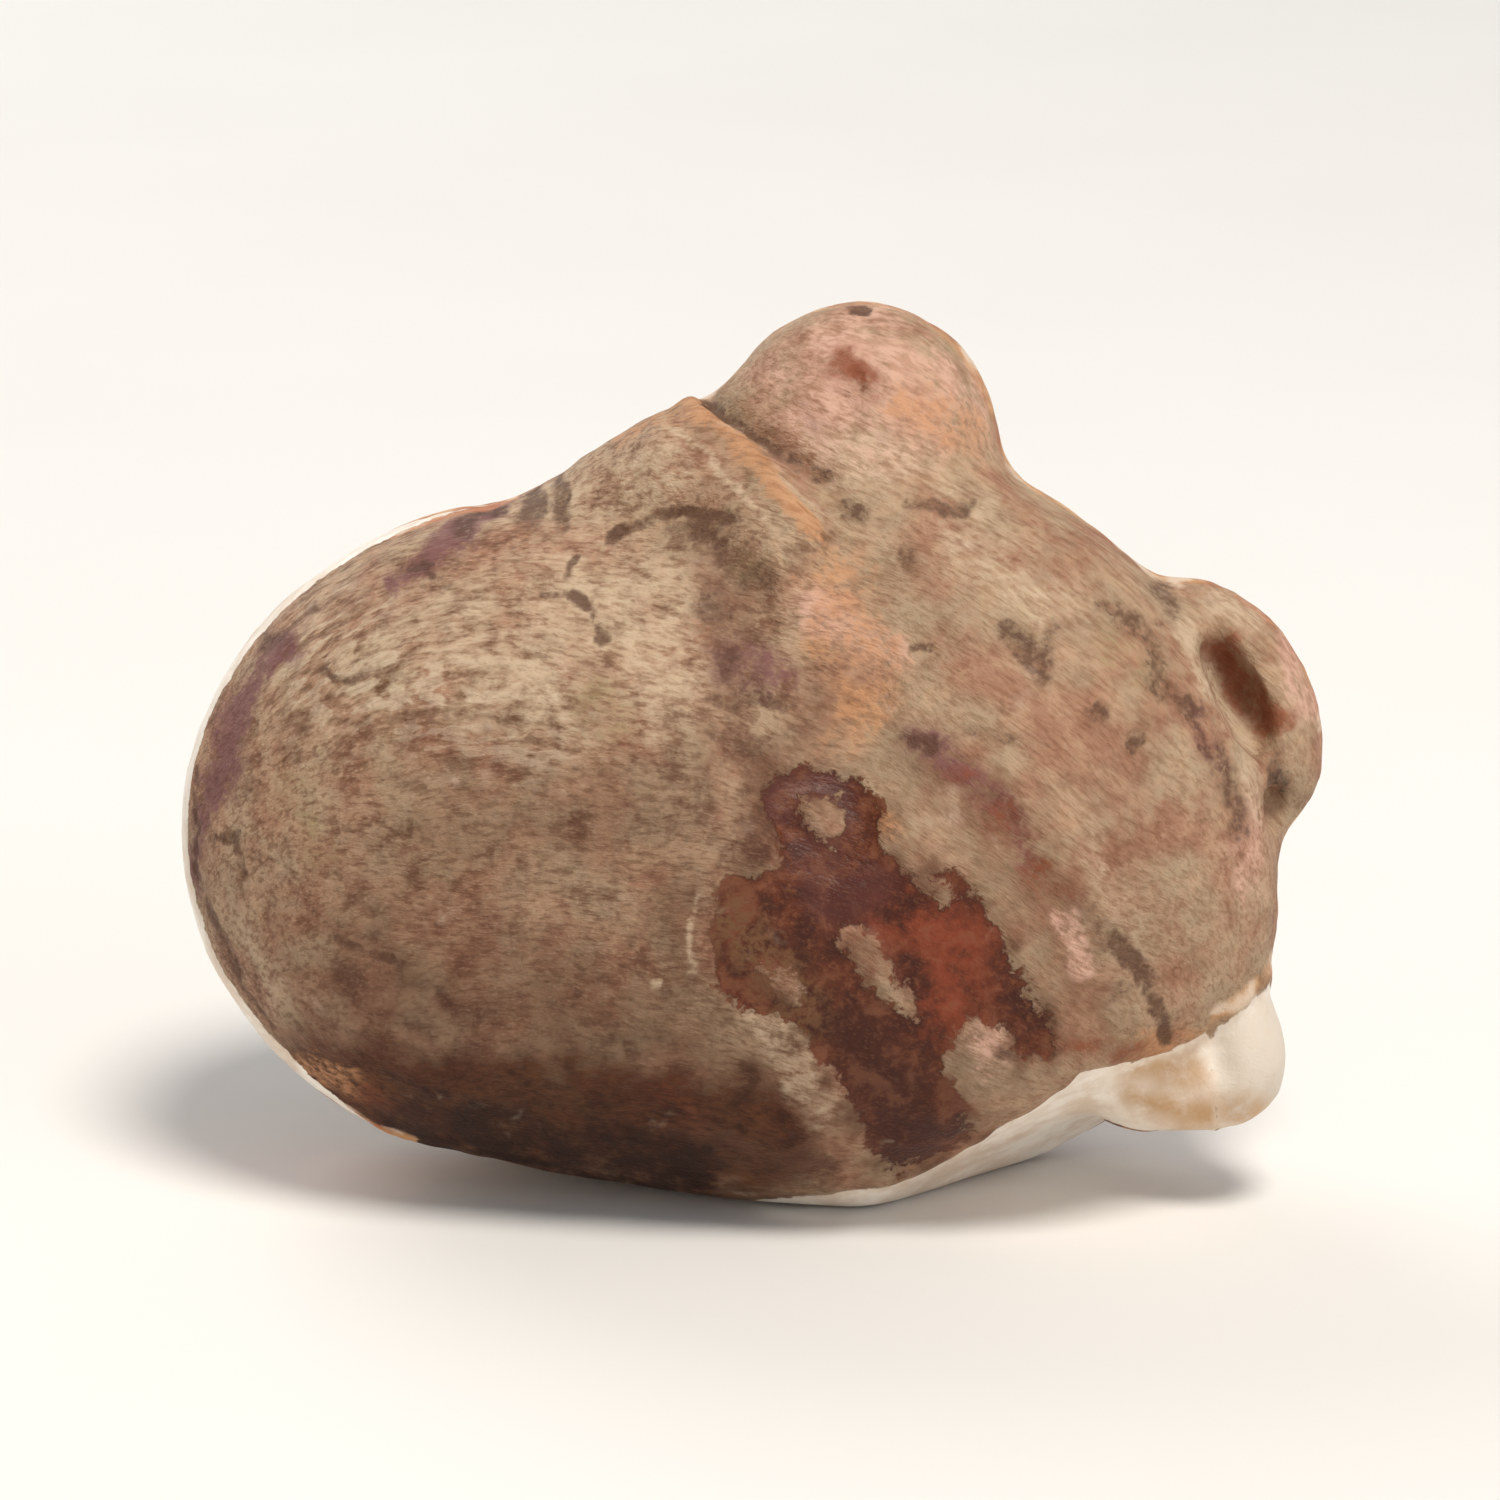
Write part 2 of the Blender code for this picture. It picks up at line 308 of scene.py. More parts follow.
FRONT_MARKS: dict[Stain, tuple[Mark, ...]] = {
    # Brown marks darken the coat: partly brown colour, partly painted shade. The wide ones over the lower
    # left lobe and along the bottom are painted shade of the lower side.
    Stain.BROWN: (
        Mark(((-11.6, -7.8), (-8.0, -8.6), (-3.0, -9.2)), 5.2, 0.85, 0.2, 0.9),
        Mark(((-9.6, -2.6), (-2.6, -2.2)), 4.2, 0.72, 0.3, 1.1),
        Mark(((-14.0, -11.4), (-6.0, -12.0), (0.0, -12.8)), 3.2, 1.9, 0.2, 0.9),
        Mark(((9.0, -7.5), (6.0, -11.5)), 2.0, 0.45, 0.4, 0.9),
        Mark(((5.0, 0.0), (7.2, -1.4), (8.6, -3.2), (10.2, -5.2)), 1.4, 0.6, 0.5, 0.9),
        Mark(((0.4, -0.4), (1.0, -2.0), (0.0, -3.8)), 1.6, 0.9, 0.5, 0.9),
        # Painted shadow under the arc crease.
        Mark(((-1.5, 7.0), (-0.3, 5.0), (-0.6, 2.2)), 1.5, 0.5, 0.6, 0.9),
        Mark(((8.0, -3.6), (10.2, -6.2), (11.2, -8.4)), 1.5, 0.5, 0.5, 0.9),
        Mark(((-2.4, -4.6), (-2.2, -7.4)), 2.2, 0.7, 0.4, 0.9),
        Mark(((2.4, 1.4), (-0.6, -2.6)), 1.9, 0.6, 0.5, 0.9),
        Mark(((12.0, -1.0), (13.4, -5.6)), 1.8, 0.2, 0.4, 0.9),
    ),
    Stain.PALE: (
        Mark(((-6.0, 5.0), (-3.5, 4.4), (-3.0, 2.4)), 2.9, 0.75, 0.4, 0.9),
        Mark(((-7.6, 8.0), (-5.2, 8.6), (-3.0, 9.2)), 1.4, 0.7, 0.3, 0.8),
        Mark(((-12.5, 3.4), (-9.5, 3.6), (-7.0, 2.0)), 2.2, 0.7, 0.6, 0.9),
        Mark(((15.2, 5.0), (16.6, 4.6)), 0.7, 0.9),
        Mark(((2.2, 9.9), (4.6, 9.2)), 1.4, 0.8, 0.4, 0.9),
        Mark(((6.4, 8.4), (8.6, 6.6)), 1.2, 0.5, 0.5, 0.9),
        Mark(((-3.0, 10.9), (-1.6, 9.8), (-0.5, 8.6), (0.5, 7.4)), 0.2, 0.9),
        Mark(((-1.6, -4.7), (-1.9, -5.9), (-1.6, -7.1)), 0.22, 0.7, 0.2, 0.9),
        Mark(((0.7, 9.0), (2.0, 7.7)), 0.35, 0.8),
        Mark(((14.3, 3.7), (16.1, 0.5), (16.4, -2.0)), 0.55, 0.8),
        Mark(((-3.0, -7.5),), 0.3, 1.0),
        Mark(((6.6, 6.6), (10.0, 4.6)), 1.6, 0.55, 0.4, 0.9),
        Mark(((0.6, -8.8), (2.2, -11.5)), 1.2, 0.55, 0.5, 0.8),
        Mark(((-16.6, -6.0), (-15.6, -8.6)), 1.0, 0.4, 0.5, 0.9),
        Mark(((11.0, -3.0), (12.4, -6.0)), 1.6, 0.35, 0.4, 0.9),
    ),
    Stain.OLIVE: (
        Mark(((-4.6, 0.8), (-5.2, 1.8)), 1.4, 0.6, 0.5, 0.9),
        Mark(((-0.2, 6.0),), 0.8, 0.6),
        Mark(((11.8, 3.6), (13.2, 2.4)), 1.4, 0.45, 0.5, 0.9),
        Mark(((-4.3, 10.8), (-2.6, 11.3)), 0.5, 0.8),
        Mark(((-15.0, -1.5), (-14.4, -3.4)), 1.3, 0.4, 0.5, 0.9),
    ),
    Stain.PINK: (
        Mark(((2.2, 11.4), (3.6, 12.9), (6.0, 11.4)), 2.9, 0.9, 0.3, 0.9),
        Mark(((1.8, 9.8), (4.4, 9.4)), 1.1, 0.5, 0.5, 0.9),
        Mark(((2.4, 4.6), (4.4, 3.2)), 1.3, 0.75, 0.8, 0.9),
        Mark(((10.0, -5.3), (10.9, -7.1)), 0.5, 0.8),
        Mark(((7.6, -9.8),), 1.2, 0.6),
        Mark(((17.9, 3.4), (18.3, 1.2)), 0.8, 0.7),
        Mark(((16.2, -2.0), (16.0, -4.6)), 0.9, 0.5),
    ),
    Stain.HONEY: (
        Mark(((-2.2, 11.4), (-0.8, 10.4), (0.3, 9.2), (1.2, 8.0), (2.0, 6.9)), 0.42, 1.3, 0.4, 0.7),
        Mark(((2.6, 6.0), (3.6, 4.2), (3.9, 2.4), (3.4, 0.9)), 1.5, 0.6, 1.1, 0.9),
        Mark(((2.4, 3.2), (3.4, 1.4)), 0.9, 0.6, 0.7, 0.9),
        Mark(((5.4, 11.2), (6.8, 10.4)), 1.4, 0.7, 0.6, 0.9),
        Mark(((-4.4, 10.4), (-2.4, 11.2)), 0.6, 0.6),
        Mark(((3.4, -1.6), (4.6, -2.4)), 0.7, 0.5),
        Mark(((-14.6, -10.4), (-13.4, -10.9)), 0.8, 0.7, 0.3, 0.8),
        Mark(((12.9, -9.8), (14.4, -9.8)), 0.9, 0.9),
    ),
    Stain.PURPLE: (
        Mark(((-17.5, -1.4), (-17.1, 0.6), (-16.2, 2.4), (-15.3, 3.4)), 0.85, 1.1, 0.8, 0.8),
        Mark(((-11.5, 5.6), (-10.5, 6.4), (-9.1, 7.5), (-8.2, 8.4)), 0.6, 1.05, 0.7, 0.8),
        Mark(((-18.2, -2.0), (-18.4, -4.6)), 0.5, 0.7),
        Mark(((1.2, 9.6), (2.6, 9.0)), 0.6, 0.25, 0.4, 0.8),
        Mark(((5.2, 0.3), (6.4, -0.3), (7.6, -1.5)), 0.8, 0.9, 0.6, 0.8),
        Mark(((8.2, -2.2), (8.8, -3.4)), 0.7, 0.6, 0.6, 0.8),
        Mark(((-0.6, 3.0), (0.6, 2.4)), 1.2, 0.7, 0.4, 0.8),
        Mark(((1.6, -3.0), (3.0, -4.6)), 0.8, 0.6),
        Mark(((-12.8, 0.6), (-11.0, 0.2)), 0.9, 0.25, 0.5, 0.9),
        Mark(((14.6, 1.0), (15.2, -0.6)), 0.6, 0.6),
        Mark(((1.4, 11.4), (2.2, 10.4)), 0.8, 0.4, 0.4, 0.8),
    ),
    # Umber lines follow the creases: their dark colour is partly stain, partly painted shade in the
    # creases. The single spots are stain.
    Stain.UMBER_AND_SHADE: (
        Mark(((3.4, 12.3), (3.8, 11.8)), 0.3, 0.9, 0.6),
        Mark(((-7.3, 9.0), (-7.3, 7.4)), 0.42, 0.95, 0.6),
        Mark(((-6.4, 9.1), (-6.45, 7.6)), 0.36, 0.85, 0.6),
        Mark(((-8.8, 8.3), (-9.4, 7.3)), 0.45, 0.8, 0.6),
        Mark(((-11.4, 6.0), (-10.6, 6.2), (-10.0, 5.4)), 0.3, 0.6, 0.9),
        Mark(((-6.7, 5.0), (-5.8, 5.0), (-5.2, 4.5), (-4.7, 3.5)), 0.22, 0.95, 1.0),
        Mark(((-5.6, 6.3), (-5.9, 5.6)), 0.2, 0.8, 0.8),
        Mark(((-4.5, 6.8), (-3.5, 7.3), (-2.4, 7.8), (-1.4, 7.9), (-0.6, 7.5)), 0.24, 1.15, 0.9),
        Mark(((-3.2, 6.8), (-2.0, 7.2)), 0.5, 0.5, 0.7),
        Mark(((-1.6, 7.3), (-0.7, 6.2), (0.1, 5.6)), 0.8, 0.7, 1.0, 0.9),
        Mark(((-1.6, 5.2), (-1.2, 3.9), (-0.4, 2.4)), 0.95, 0.6, 1.0, 0.9),
        Mark(((-1.1, 1.7), (1.3, 1.6)), 0.34, 0.8, 0.7),
        Mark(((0.9, -2.2), (1.6, -3.2)), 0.8, 0.8, 0.6),
        Mark(((5.0, 0.4), (5.8, 0.0)), 0.5, 0.9, 0.6),
        Mark(((7.7, -1.6), (8.7, -3.0), (9.6, -4.2), (10.6, -5.2), (11.6, -5.9)), 0.7, 0.5, 1.1, 0.9),
        Mark(((11.7, -6.1), (12.8, -7.6), (13.6, -9.4)), 0.42, 1.1, 0.6),
        Mark(((3.1, 7.8), (3.5, 7.7)), 0.32, 1.1, 0.8),
        Mark(((5.0, 7.9), (7.1, 7.8)), 0.28, 0.85, 1.1),
        Mark(((5.0, 6.1),), 0.45, 0.8, 0.8),
        Mark(((5.3, 3.2), (5.9, 3.2)), 0.26, 0.8, 0.6),
        Mark(((8.4, 3.9), (9.3, 2.5)), 0.55, 0.85, 1.0),
        Mark(((9.9, 3.9), (9.4, 3.0)), 0.45, 0.6, 1.0),
        Mark(((11.2, 1.1),), 0.5, 0.95, 0.9),
        Mark(((12.4, 0.2),), 0.42, 0.95, 0.9),
        Mark(
            ((11.7, 4.7), (12.8, 3.7), (13.4, 2.1), (14.7, 0.8), (15.4, -0.8), (15.8, -2.8)),
            0.65, 0.8, 0.8, 0.9,
        ),
        Mark(((-1.5, 11.4), (-0.2, 10.5), (0.9, 9.8)), 0.24, 1.1, 0.5),
        Mark(((0.9, 9.8), (2.4, 8.9)), 0.3, 0.6, 0.6),
        Mark(((-14.0, 2.6), (-13.2, 2.1), (-12.4, 2.6)), 0.26, 0.7, 0.6),
        Mark(((-13.7, -6.0), (-11.5, -7.0)), 0.18, 0.9, 0.4),
        Mark(((-17.8, -3.0), (-17.0, -2.9), (-16.8, -3.9)), 0.24, 0.8, 0.5),
        Mark(
            ((-18.5, -0.8), (-18.4, -3.0), (-18.0, -5.2), (-17.0, -7.6), (-15.9, -9.3)),
            0.2, 0.75, 0.4, 0.9,
        ),
        Mark(((13.5, 5.2), (13.8, 4.4)), 0.55, 0.7, 0.6),
        Mark(((-1.0, 0.4), (0.2, -0.8)), 1.0, 0.5, 0.8, 0.9),
        Mark(((3.3, 14.5), (3.9, 14.45)), 0.24, 1.2, 0.3),
        Mark(((17.0, -7.9), (16.6, -7.7)), 0.4, 0.8),
        # Painted shade of the underside, along the bottom.
        Mark(((-2.0, -12.6), (0.6, -13.6), (2.4, -14.0)), 0.9, 0.8, 0.9, 0.9),
        Mark(((5.0, -7.6),), 0.3, 0.4),
        Mark(((8.1, -9.8),), 0.34, 1.0, 0.4),
        Mark(((12.0, -8.0),), 0.5, 0.5),
        Mark(((9.6, -8.4), (9.8, -9.8), (8.6, -9.9)), 0.4, 0.8, 0.6),
        Mark(((2.6, -6.6), (3.4, -9.4), (4.4, -11.4)), 0.4, 0.5, 0.6),
        Mark(((7.0, 0.6), (8.4, 0.2)), 0.3, 0.5, 0.8),
        Mark(((-16.0, 3.6), (-14.4, 4.6)), 0.5, 0.5, 0.8),
    ),
    Stain.MAROON: (
        Mark(((3.0, 12.6), (3.7, 12.1)), 0.8, 1.0, 0.8, 0.9),
        Mark(((3.3, 12.3),), 1.3, 0.5, 0.7, 0.9),
        Mark(((6.8, -1.0), (8.3, -2.9), (9.8, -4.6)), 1.2, 0.5, 0.7, 0.9),
        Mark(((15.5, 3.3), (16.3, 2.1), (17.1, 0.9)), 0.85, 0.95, 0.3, 0.6),
        Mark(((-12.9, -11.3), (-10.4, -12.2)), 0.9, 0.5, 0.5, 0.8),
        Mark(((-2.6, -11.2), (-1.8, -12.4)), 0.9, 0.35, 0.5, 0.8),
        Mark(((10.0, -9.4), (12.6, -9.9)), 0.5, 0.6),
        Mark(((14.1, -10.1),), 0.25, 0.9, 0.2),
    ),
    # The near-black band along the bottom is partly painted shade of the underside.
    Stain.BLACK: (
        Mark(((-11.4, -12.6), (-7.0, -13.5), (-2.4, -14.2)), 2.2, 1.05, 0.4, 0.9),
        Mark(((17.3, -0.2), (17.5, -1.3)), 0.45, 0.6),
    ),
}

BACK_MARKS: dict[Stain, tuple[Mark, ...]] = {
    # The wide brown marks along the lower back are painted shade, like the ones in front.
    Stain.BROWN: (
        Mark(((12.0, -6.0), (5.0, -8.0), (-4.0, -8.6)), 5.0, 0.55, 0.3, 0.9),
        Mark(((11.0, -11.4), (2.0, -12.8), (-6.0, -12.0)), 3.0, 0.9, 0.3, 0.9),
        Mark(((2.0, 2.0), (-1.0, 6.0)), 2.4, 0.28, 0.5, 0.9),
    ),
    Stain.PALE: (
        Mark(((4.6, 5.4), (7.4, 3.4)), 2.8, 0.7, 0.4, 0.9),
        Mark(((-9.6, 3.0), (-7.4, 5.2)), 2.2, 0.6, 0.4, 0.9),
        Mark(((10.2, -4.6), (7.0, -8.2)), 1.6, 0.4, 0.5, 0.9),
    ),
    Stain.OLIVE: (
        Mark(((9.4, -1.0), (7.0, 0.4)), 1.5, 0.5, 0.5, 0.9),
        Mark(((-12.0, -2.2),), 1.4, 0.45, 0.5, 0.9),
    ),
    Stain.PINK: (Mark(((-3.4, 11.4), (-4.6, 13.0)), 2.0, 0.6, 0.3, 0.9),),
    Stain.HONEY: (
        Mark(((-3.4, 6.4), (-2.6, 2.0), (-1.4, -2.0)), 1.3, 0.7, 0.5, 0.9),
        Mark(((13.4, 7.0), (15.4, 4.4)), 1.2, 0.6, 0.5, 0.8),
        Mark(((-6.6, 11.0),), 1.4, 0.7, 0.4, 0.8),
    ),
    Stain.PURPLE: (
        Mark(((12.2, 5.6), (14.6, 2.8), (15.8, -0.4)), 0.8, 0.8, 0.5, 0.7),
        Mark(((2.0, 7.4), (4.6, 7.9), (6.2, 7.0)), 0.6, 0.8, 0.5, 0.7),
        Mark(((-8.8, -1.4), (-6.2, -2.4)), 1.0, 0.6, 0.5, 0.8),
    ),
    Stain.UMBER_AND_SHADE: (
        Mark(((8.4, 7.8), (9.2, 6.0)), 0.4, 0.9, 0.5),
        Mark(((5.6, 4.4), (4.2, 4.8), (3.4, 4.0)), 0.3, 0.9, 0.5),
        Mark(((-12.2, 4.4), (-10.6, 2.0), (-11.2, -0.8)), 0.5, 0.8, 0.6, 0.8),
        Mark(((-5.6, 4.6), (-6.6, 3.2)), 0.5, 0.8, 0.6),
        Mark(((11.8, -7.4), (8.8, -9.6), (4.6, -10.8)), 0.9, 0.5, 0.6, 0.9),
        Mark(((-9.4, -6.4), (-7.0, -8.8)), 0.5, 0.7, 0.6),
        Mark(((-0.4, 8.8), (0.6, 6.4)), 0.4, 0.7, 0.5),
        Mark(((12.9, -2.2), (10.9, -3.0)), 0.16, 0.8, 0.3),
    ),
    Stain.MAROON: (Mark(((1.0, -11.4), (5.0, -12.2)), 1.2, 0.6, 0.6, 0.9),),
    Stain.BLACK: (),
}

INNER_MARKS: dict[str, Mark] = {
    "inner_red": Mark(((4.9, -5.4), (6.8, -6.2), (6.4, -8.4)), 1.5, 1.0, 0.4, 0.7),
    "inner_deep": Mark(((3.4, -9.4), (4.8, -11.4), (5.2, -13.4)), 1.5, 1.0, 0.4, 0.7),
    "inner_plum": Mark(
        ((0.8, -1.6), (2.6, -1.2), (2.2, -3.4), (2.6, -5.0), (4.0, -4.4)), 1.1, 1.0, 0.4, 0.7
    ),
    "inner_olive": Mark(((-0.8, -5.4), (0.4, -6.8), (1.6, -8.6)), 1.2, 1.0, 0.4, 0.7),
}
# Dried flesh: the first mark is the yellow base of the nub; the second, under the nub, is dried flesh
# darkened further as painted shade.
DRIED_AND_SHADED_FLESH = (
    Mark(((12.8, -10.5), (14.2, -10.6)), 1.1, 0.95, 0.4, 0.9),
    Mark(((12.6, -11.6), (14.4, -12.2), (16.8, -12.2)), 0.9, 0.9, 0.4, 0.9),
)
FRONT_RIPPLES = Mark(((-13.4, 2.8), (-10.6, 2.2), (-7.4, 0.8)), 3.0, 1.0, 0.3, 0.9)
BACK_RIPPLES = Mark(((9.4, 2.0), (5.4, 1.0)), 2.6, 0.8, 0.3, 0.9)
VEIN = Mark(((-1.7, -4.7), (-1.75, -5.9), (-1.5, -7.1)), 0.28, 1.0, 0.0, 0.9)
FOLD_RIDGE = Mark(((-2.2, 11.5), (-0.8, 10.3), (0.3, 9.1), (1.2, 7.9), (2.0, 6.8)), 0.54, 1.0, 0.2, 0.7)
FOLD_GROOVE = Mark(((-1.4, 11.5), (0.0, 10.5), (1.2, 9.6), (2.4, 8.6)), 0.42, 1.0, 0.2, 0.7)
TIP_NECK = Mark(((15.5, -8.3), (15.3, -9.5), (15.6, -10.6)), 0.6, 1.0, 0.2, 0.9)

FLAKE = Shape((
    (-1.2, -4.8), (-0.5, -4.1), (0.9, -4.0), (0.9, -2.6), (0.2, -1.9), (0.5, -1.0), (1.4, -0.6),
    (2.5, -0.6), (3.5, -1.0), (4.2, -2.0), (4.1, -3.2), (4.9, -3.8), (6.4, -3.9), (7.3, -4.7),
    (8.1, -5.9), (8.7, -7.4), (9.8, -8.8), (9.6, -10.0), (8.7, -10.0), (8.1, -9.1), (7.1, -8.8),
    (6.4, -9.4), (6.2, -10.5), (7.0, -11.9), (7.5, -12.7), (6.1, -13.6), (4.4, -14.1), (4.0, -13.3),
    (3.3, -11.9), (2.8, -10.7), (1.8, -9.6), (0.9, -8.7), (-0.2, -8.5), (-1.1, -7.7), (-1.4, -6.1),
))
ISLETS = (
    Shape(((2.9, -5.9), (4.1, -5.9), (4.7, -7.7), (5.2, -8.5), (4.4, -8.3), (3.5, -7.4))),
    Shape(((0.0, -6.8), (1.2, -7.1), (1.6, -8.3), (0.5, -7.8))),
    Shape(((1.4, -1.5), (2.4, -1.4), (3.0, -2.4), (2.6, -3.2), (1.9, -2.7))),
    Shape(((5.4, -4.2), (6.6, -4.3), (6.2, -4.9))),
)
BACK_FLAKE = Shape((
    (-5.4, -3.6), (-3.0, -2.6), (-0.6, -3.8), (0.8, -6.2), (-0.4, -9.0), (-2.8, -9.6), (-4.2, -7.6),
    (-6.0, -6.4),
))
CUT_EDGE: Path = (
    (-1.0, -15.3), (0.4, -14.95), (2.4, -14.75), (4.2, -14.6), (5.4, -14.3), (6.5, -13.8), (7.1, -13.3),
    (8.3, -12.5), (9.5, -11.7), (10.2, -11.1), (10.7, -10.5), (12.6, -10.3), (13.6, -10.0), (15.0, -9.4),
)


@dataclass(frozen=True)
class Layer:
    """One wash of colour: none of it where its pattern is low, its whole share where high."""

    pattern: str
    low: float
    high: float
    share: float
    colour: str
    where: str = ""
    least: float = 0.0
    darkens: bool = False


SOFT = {"interpolation_type": "SMOOTHSTEP"}
TIMES = {"operation": "MULTIPLY"}
TIMES_PLUS = {"operation": "MULTIPLY_ADD"}
OVER = {"data_type": "RGBA", "clamp_factor": True}
DARKENING = {"data_type": "RGBA", "clamp_factor": True, "blend_type": "MULTIPLY"}
OWN_FIELDS = (
    "flake", "flesh", "thin", "yellow", "nub", "smooth", "ripple",
    "inner_red", "inner_deep", "inner_plum", "inner_olive",
)


def add_node(
    tree: bpy.types.NodeTree,
    kind: str,
    settings: dict[str, object],
    links: dict[int | str, object],
    result: int | str = 0,
) -> bpy.types.NodeSocket | None:
    """Adds one node with its settings and links.

    Args:
        tree: The tree it goes into.
        kind: Blender's name of the node, after "ShaderNode".
        settings: Its properties by name.
        links: Its inputs by name or number, each a value or the socket that feeds it.
        result: The output that is wanted.

    Returns:
        That output, or None for a node that has none.
    """
    node = tree.nodes.new("ShaderNode" + kind)
    for name, value in settings.items():
        setattr(node, name, value)
    for key, value in links.items():
        if isinstance(value, bpy.types.NodeSocket):
            tree.links.new(value, node.inputs[key])
        else:
            node.inputs[key].default_value = value
    return node.outputs[result] if node.outputs else None


def empty_material(name: str) -> bpy.types.Material:
    """Makes a material whose node tree is still empty."""
    material = bpy.data.materials.new(name)
    material.use_nodes = True
    material.node_tree.nodes.clear()
    return material


@dataclass(frozen=True)
class SeedCoat:
    """The thin brown seed coat of a kernel, grown fibrous and dried papery over white flesh.

    To the eye the coat is matt, clouded and crossed by short fibres. Where it has flaked
    off, the glossier red-brown inner coat shows. The flesh is bare and damp, starchy white,
    where the shell or a knife took the coat away. The real fibres are about 0.1 mm wide:
    they are drawn 0.2 mm wide, so that they show.
    """

    name: str = "dried_papery_seed_coat_over_raw_kernel_flesh"
    coat_light: str = "#bb9a7d"
    coat_grey: str = "#a99176"
    coat_middle: str = "#9c735b"
    coat_dark: str = "#6c4736"
    coat_fleck: str = "#4f3428"
    # The brown wash: partly brown colour, partly painted shade.
    coat_brown_and_shade: str = "#85634c"
    fibre_shade: str = "#e3dad2"
    cloud_shade: str = "#dccfc5"
    fibre_pale: str = "#c4a98d"
    # Ripple colours: partly their own, partly painted highlight and shade on the ripples.
    ripple_pale_and_highlight: str = "#d0bda4"
    ripple_dark_and_shade: str = "#66452f"
    inner_light: str = "#7d4a2f"
    inner_middle: str = "#5c2c18"
    inner_dark: str = "#3b180d"
    inner_red: str = "#7e3820"
    inner_plum: str = "#4f2822"
    inner_worn: str = "#7c5038"
    inner_olive: str = "#68472e"
    flesh_white: str = "#f1e8dc"
    flesh_shade: str = "#d3bba4"
    # Dried flesh, darker under the nub as painted shade.
    flesh_dried_and_shaded: str = "#bd9364"
    # The nub's flesh, painted darker as painted shade against the key light on the tip.
    flesh_nub_painted_shade: str = "#c6b8a7"
    thin_skin: str = "#c9935f"
    thin_skin_red: str = "#a35c36"
    fibre_width: float = 0.2
    fibre_length: float = 0.55
    speck_size: float = 0.3
    patch_size: float = 1.1
    blotch_size: float = 2.4
    ripple_width: float = 0.45
    ripple_length: float = 1.3
    grit_size: float = 0.11
    relief_height: float = 0.09
    roughness: float = 0.56
    least_roughness: float = 0.34
    ior: float = 1.44

    def stain_colours(self) -> dict[Stain, str]:
        """Gives the sRGB colour of each stain that soaks into the coat. Umber and black also stand for
        painted shade, in the creases and along the underside.
        """
        return {
            Stain.PALE: "#bfa88d",
            Stain.OLIVE: "#988763",
            Stain.PINK: "#cda490",
            Stain.HONEY: "#bd8a62",
            Stain.PURPLE: "#754b4c",
            # Dark umber: partly stain, partly painted shade in the creases.
            Stain.UMBER_AND_SHADE: "#573a2b",
            Stain.MAROON: "#824429",
            # Near-black: partly stain, partly painted shade on the underside.
            Stain.BLACK: "#24110a",
        }

    def coat_layers(self) -> tuple[Layer, ...]:
        """Gives the outer coat: clouds of grey-beige and brown, crossed by short fibres, with ripple lines
        that are partly painted highlight and shade, and last a brown wash that is partly painted shade.
        """
        return (
            Layer("blotch", 0.36, 0.64, 1.0, self.coat_grey),
            Layer("cloud", 0.46, 0.66, 0.5, self.coat_light),
            Layer("cloud", 0.5, 0.34, 0.5, self.coat_dark, "rough_skin"),
            Layer("fine_fibre", 0.5, 0.68, 0.4, self.fibre_pale, "rough_skin"),
            Layer("fibre", 0.52, 0.34, 0.4, self.coat_dark, "rough_skin"),
            Layer("speck", 0.5, 0.8, 0.32, self.coat_fleck, "rough_skin"),
            # Ripple lines: their pale and dark colour is partly their own, partly painted highlight and
            # shade on the ripples.
            Layer("ripple_grain", 0.5, 0.57, 0.6, self.ripple_pale_and_highlight, "ripple"),
            Layer("ripple_grain", 0.46, 0.38, 0.72, self.ripple_dark_and_shade, "ripple"),
            # Painted shade: the brown field darkens the coat over the lower sides and under creases,
            # besides its own brown.
            Layer("fibre", 0.3, 0.6, 1.1, self.coat_brown_and_shade, Stain.BROWN.value, 0.8, True),
        )

    def worn_layers(self) -> tuple[Layer, ...]:
        """Gives the shading that keeps the fibres and clouds in sight through every stain."""
        return (
            Layer("fibre", 0.6, 0.34, 0.9, self.fibre_shade, darkens=True),
            Layer("cloud", 0.44, 0.3, 0.5, self.cloud_shade, darkens=True),
        )

    def inner_layers(self) -> tuple[Layer, ...]:
        """Gives the inner coat: red-brown and smoother, mottled where it stays thick."""
        return (
            Layer("cloud", 0.38, 0.62, 1.0, self.inner_middle),
            Layer("speck", 0.5, 0.72, 0.5, self.inner_light),
            Layer("cloud", 0.3, 0.6, 0.9, self.inner_red, "inner_red"),
            Layer("inner_deep", 0.0, 1.0, 0.75, self.inner_dark),
            Layer("inner_plum", 0.0, 1.0, 0.75, self.inner_plum),
            Layer("cloud", 0.53, 0.66, 0.4, self.inner_worn),
            Layer("speck", 0.36, 0.6, 1.0, self.inner_olive, "inner_olive"),
            Layer("fine_fibre", 0.56, 0.7, 0.3, self.inner_worn),
        )

    def flesh_layers(self) -> tuple[Layer, ...]:
        """Gives the bare flesh: starchy white, slightly yellow where it has dried, with the nub's flesh
        painted darker and the flesh under the nub darkened, both as painted shade.
        """
        return (
            Layer("blotch", 0.4, 0.65, 0.8, self.flesh_shade),
            # Painted shade: the nub's flesh is painted darker, to offset the key light that falls on the
            # tip.
            Layer("nub", 0.0, 1.0, 0.75, self.flesh_nub_painted_shade),
            # Yellow where the flesh has dried, darker under the nub as painted shade.
            Layer("cloud", 0.2, 0.6, 1.0, self.flesh_dried_and_shaded, "yellow"),
        )

    def thin_layers(self) -> tuple[Layer, ...]:
        """Gives the thin skin at a margin: the flesh shines through it, honey to orange."""
        return (
            Layer("blotch", 0.4, 0.6, 1.0, self.thin_skin),
            Layer("patch", 0.48, 0.66, 1.0, self.flesh_shade),
        )

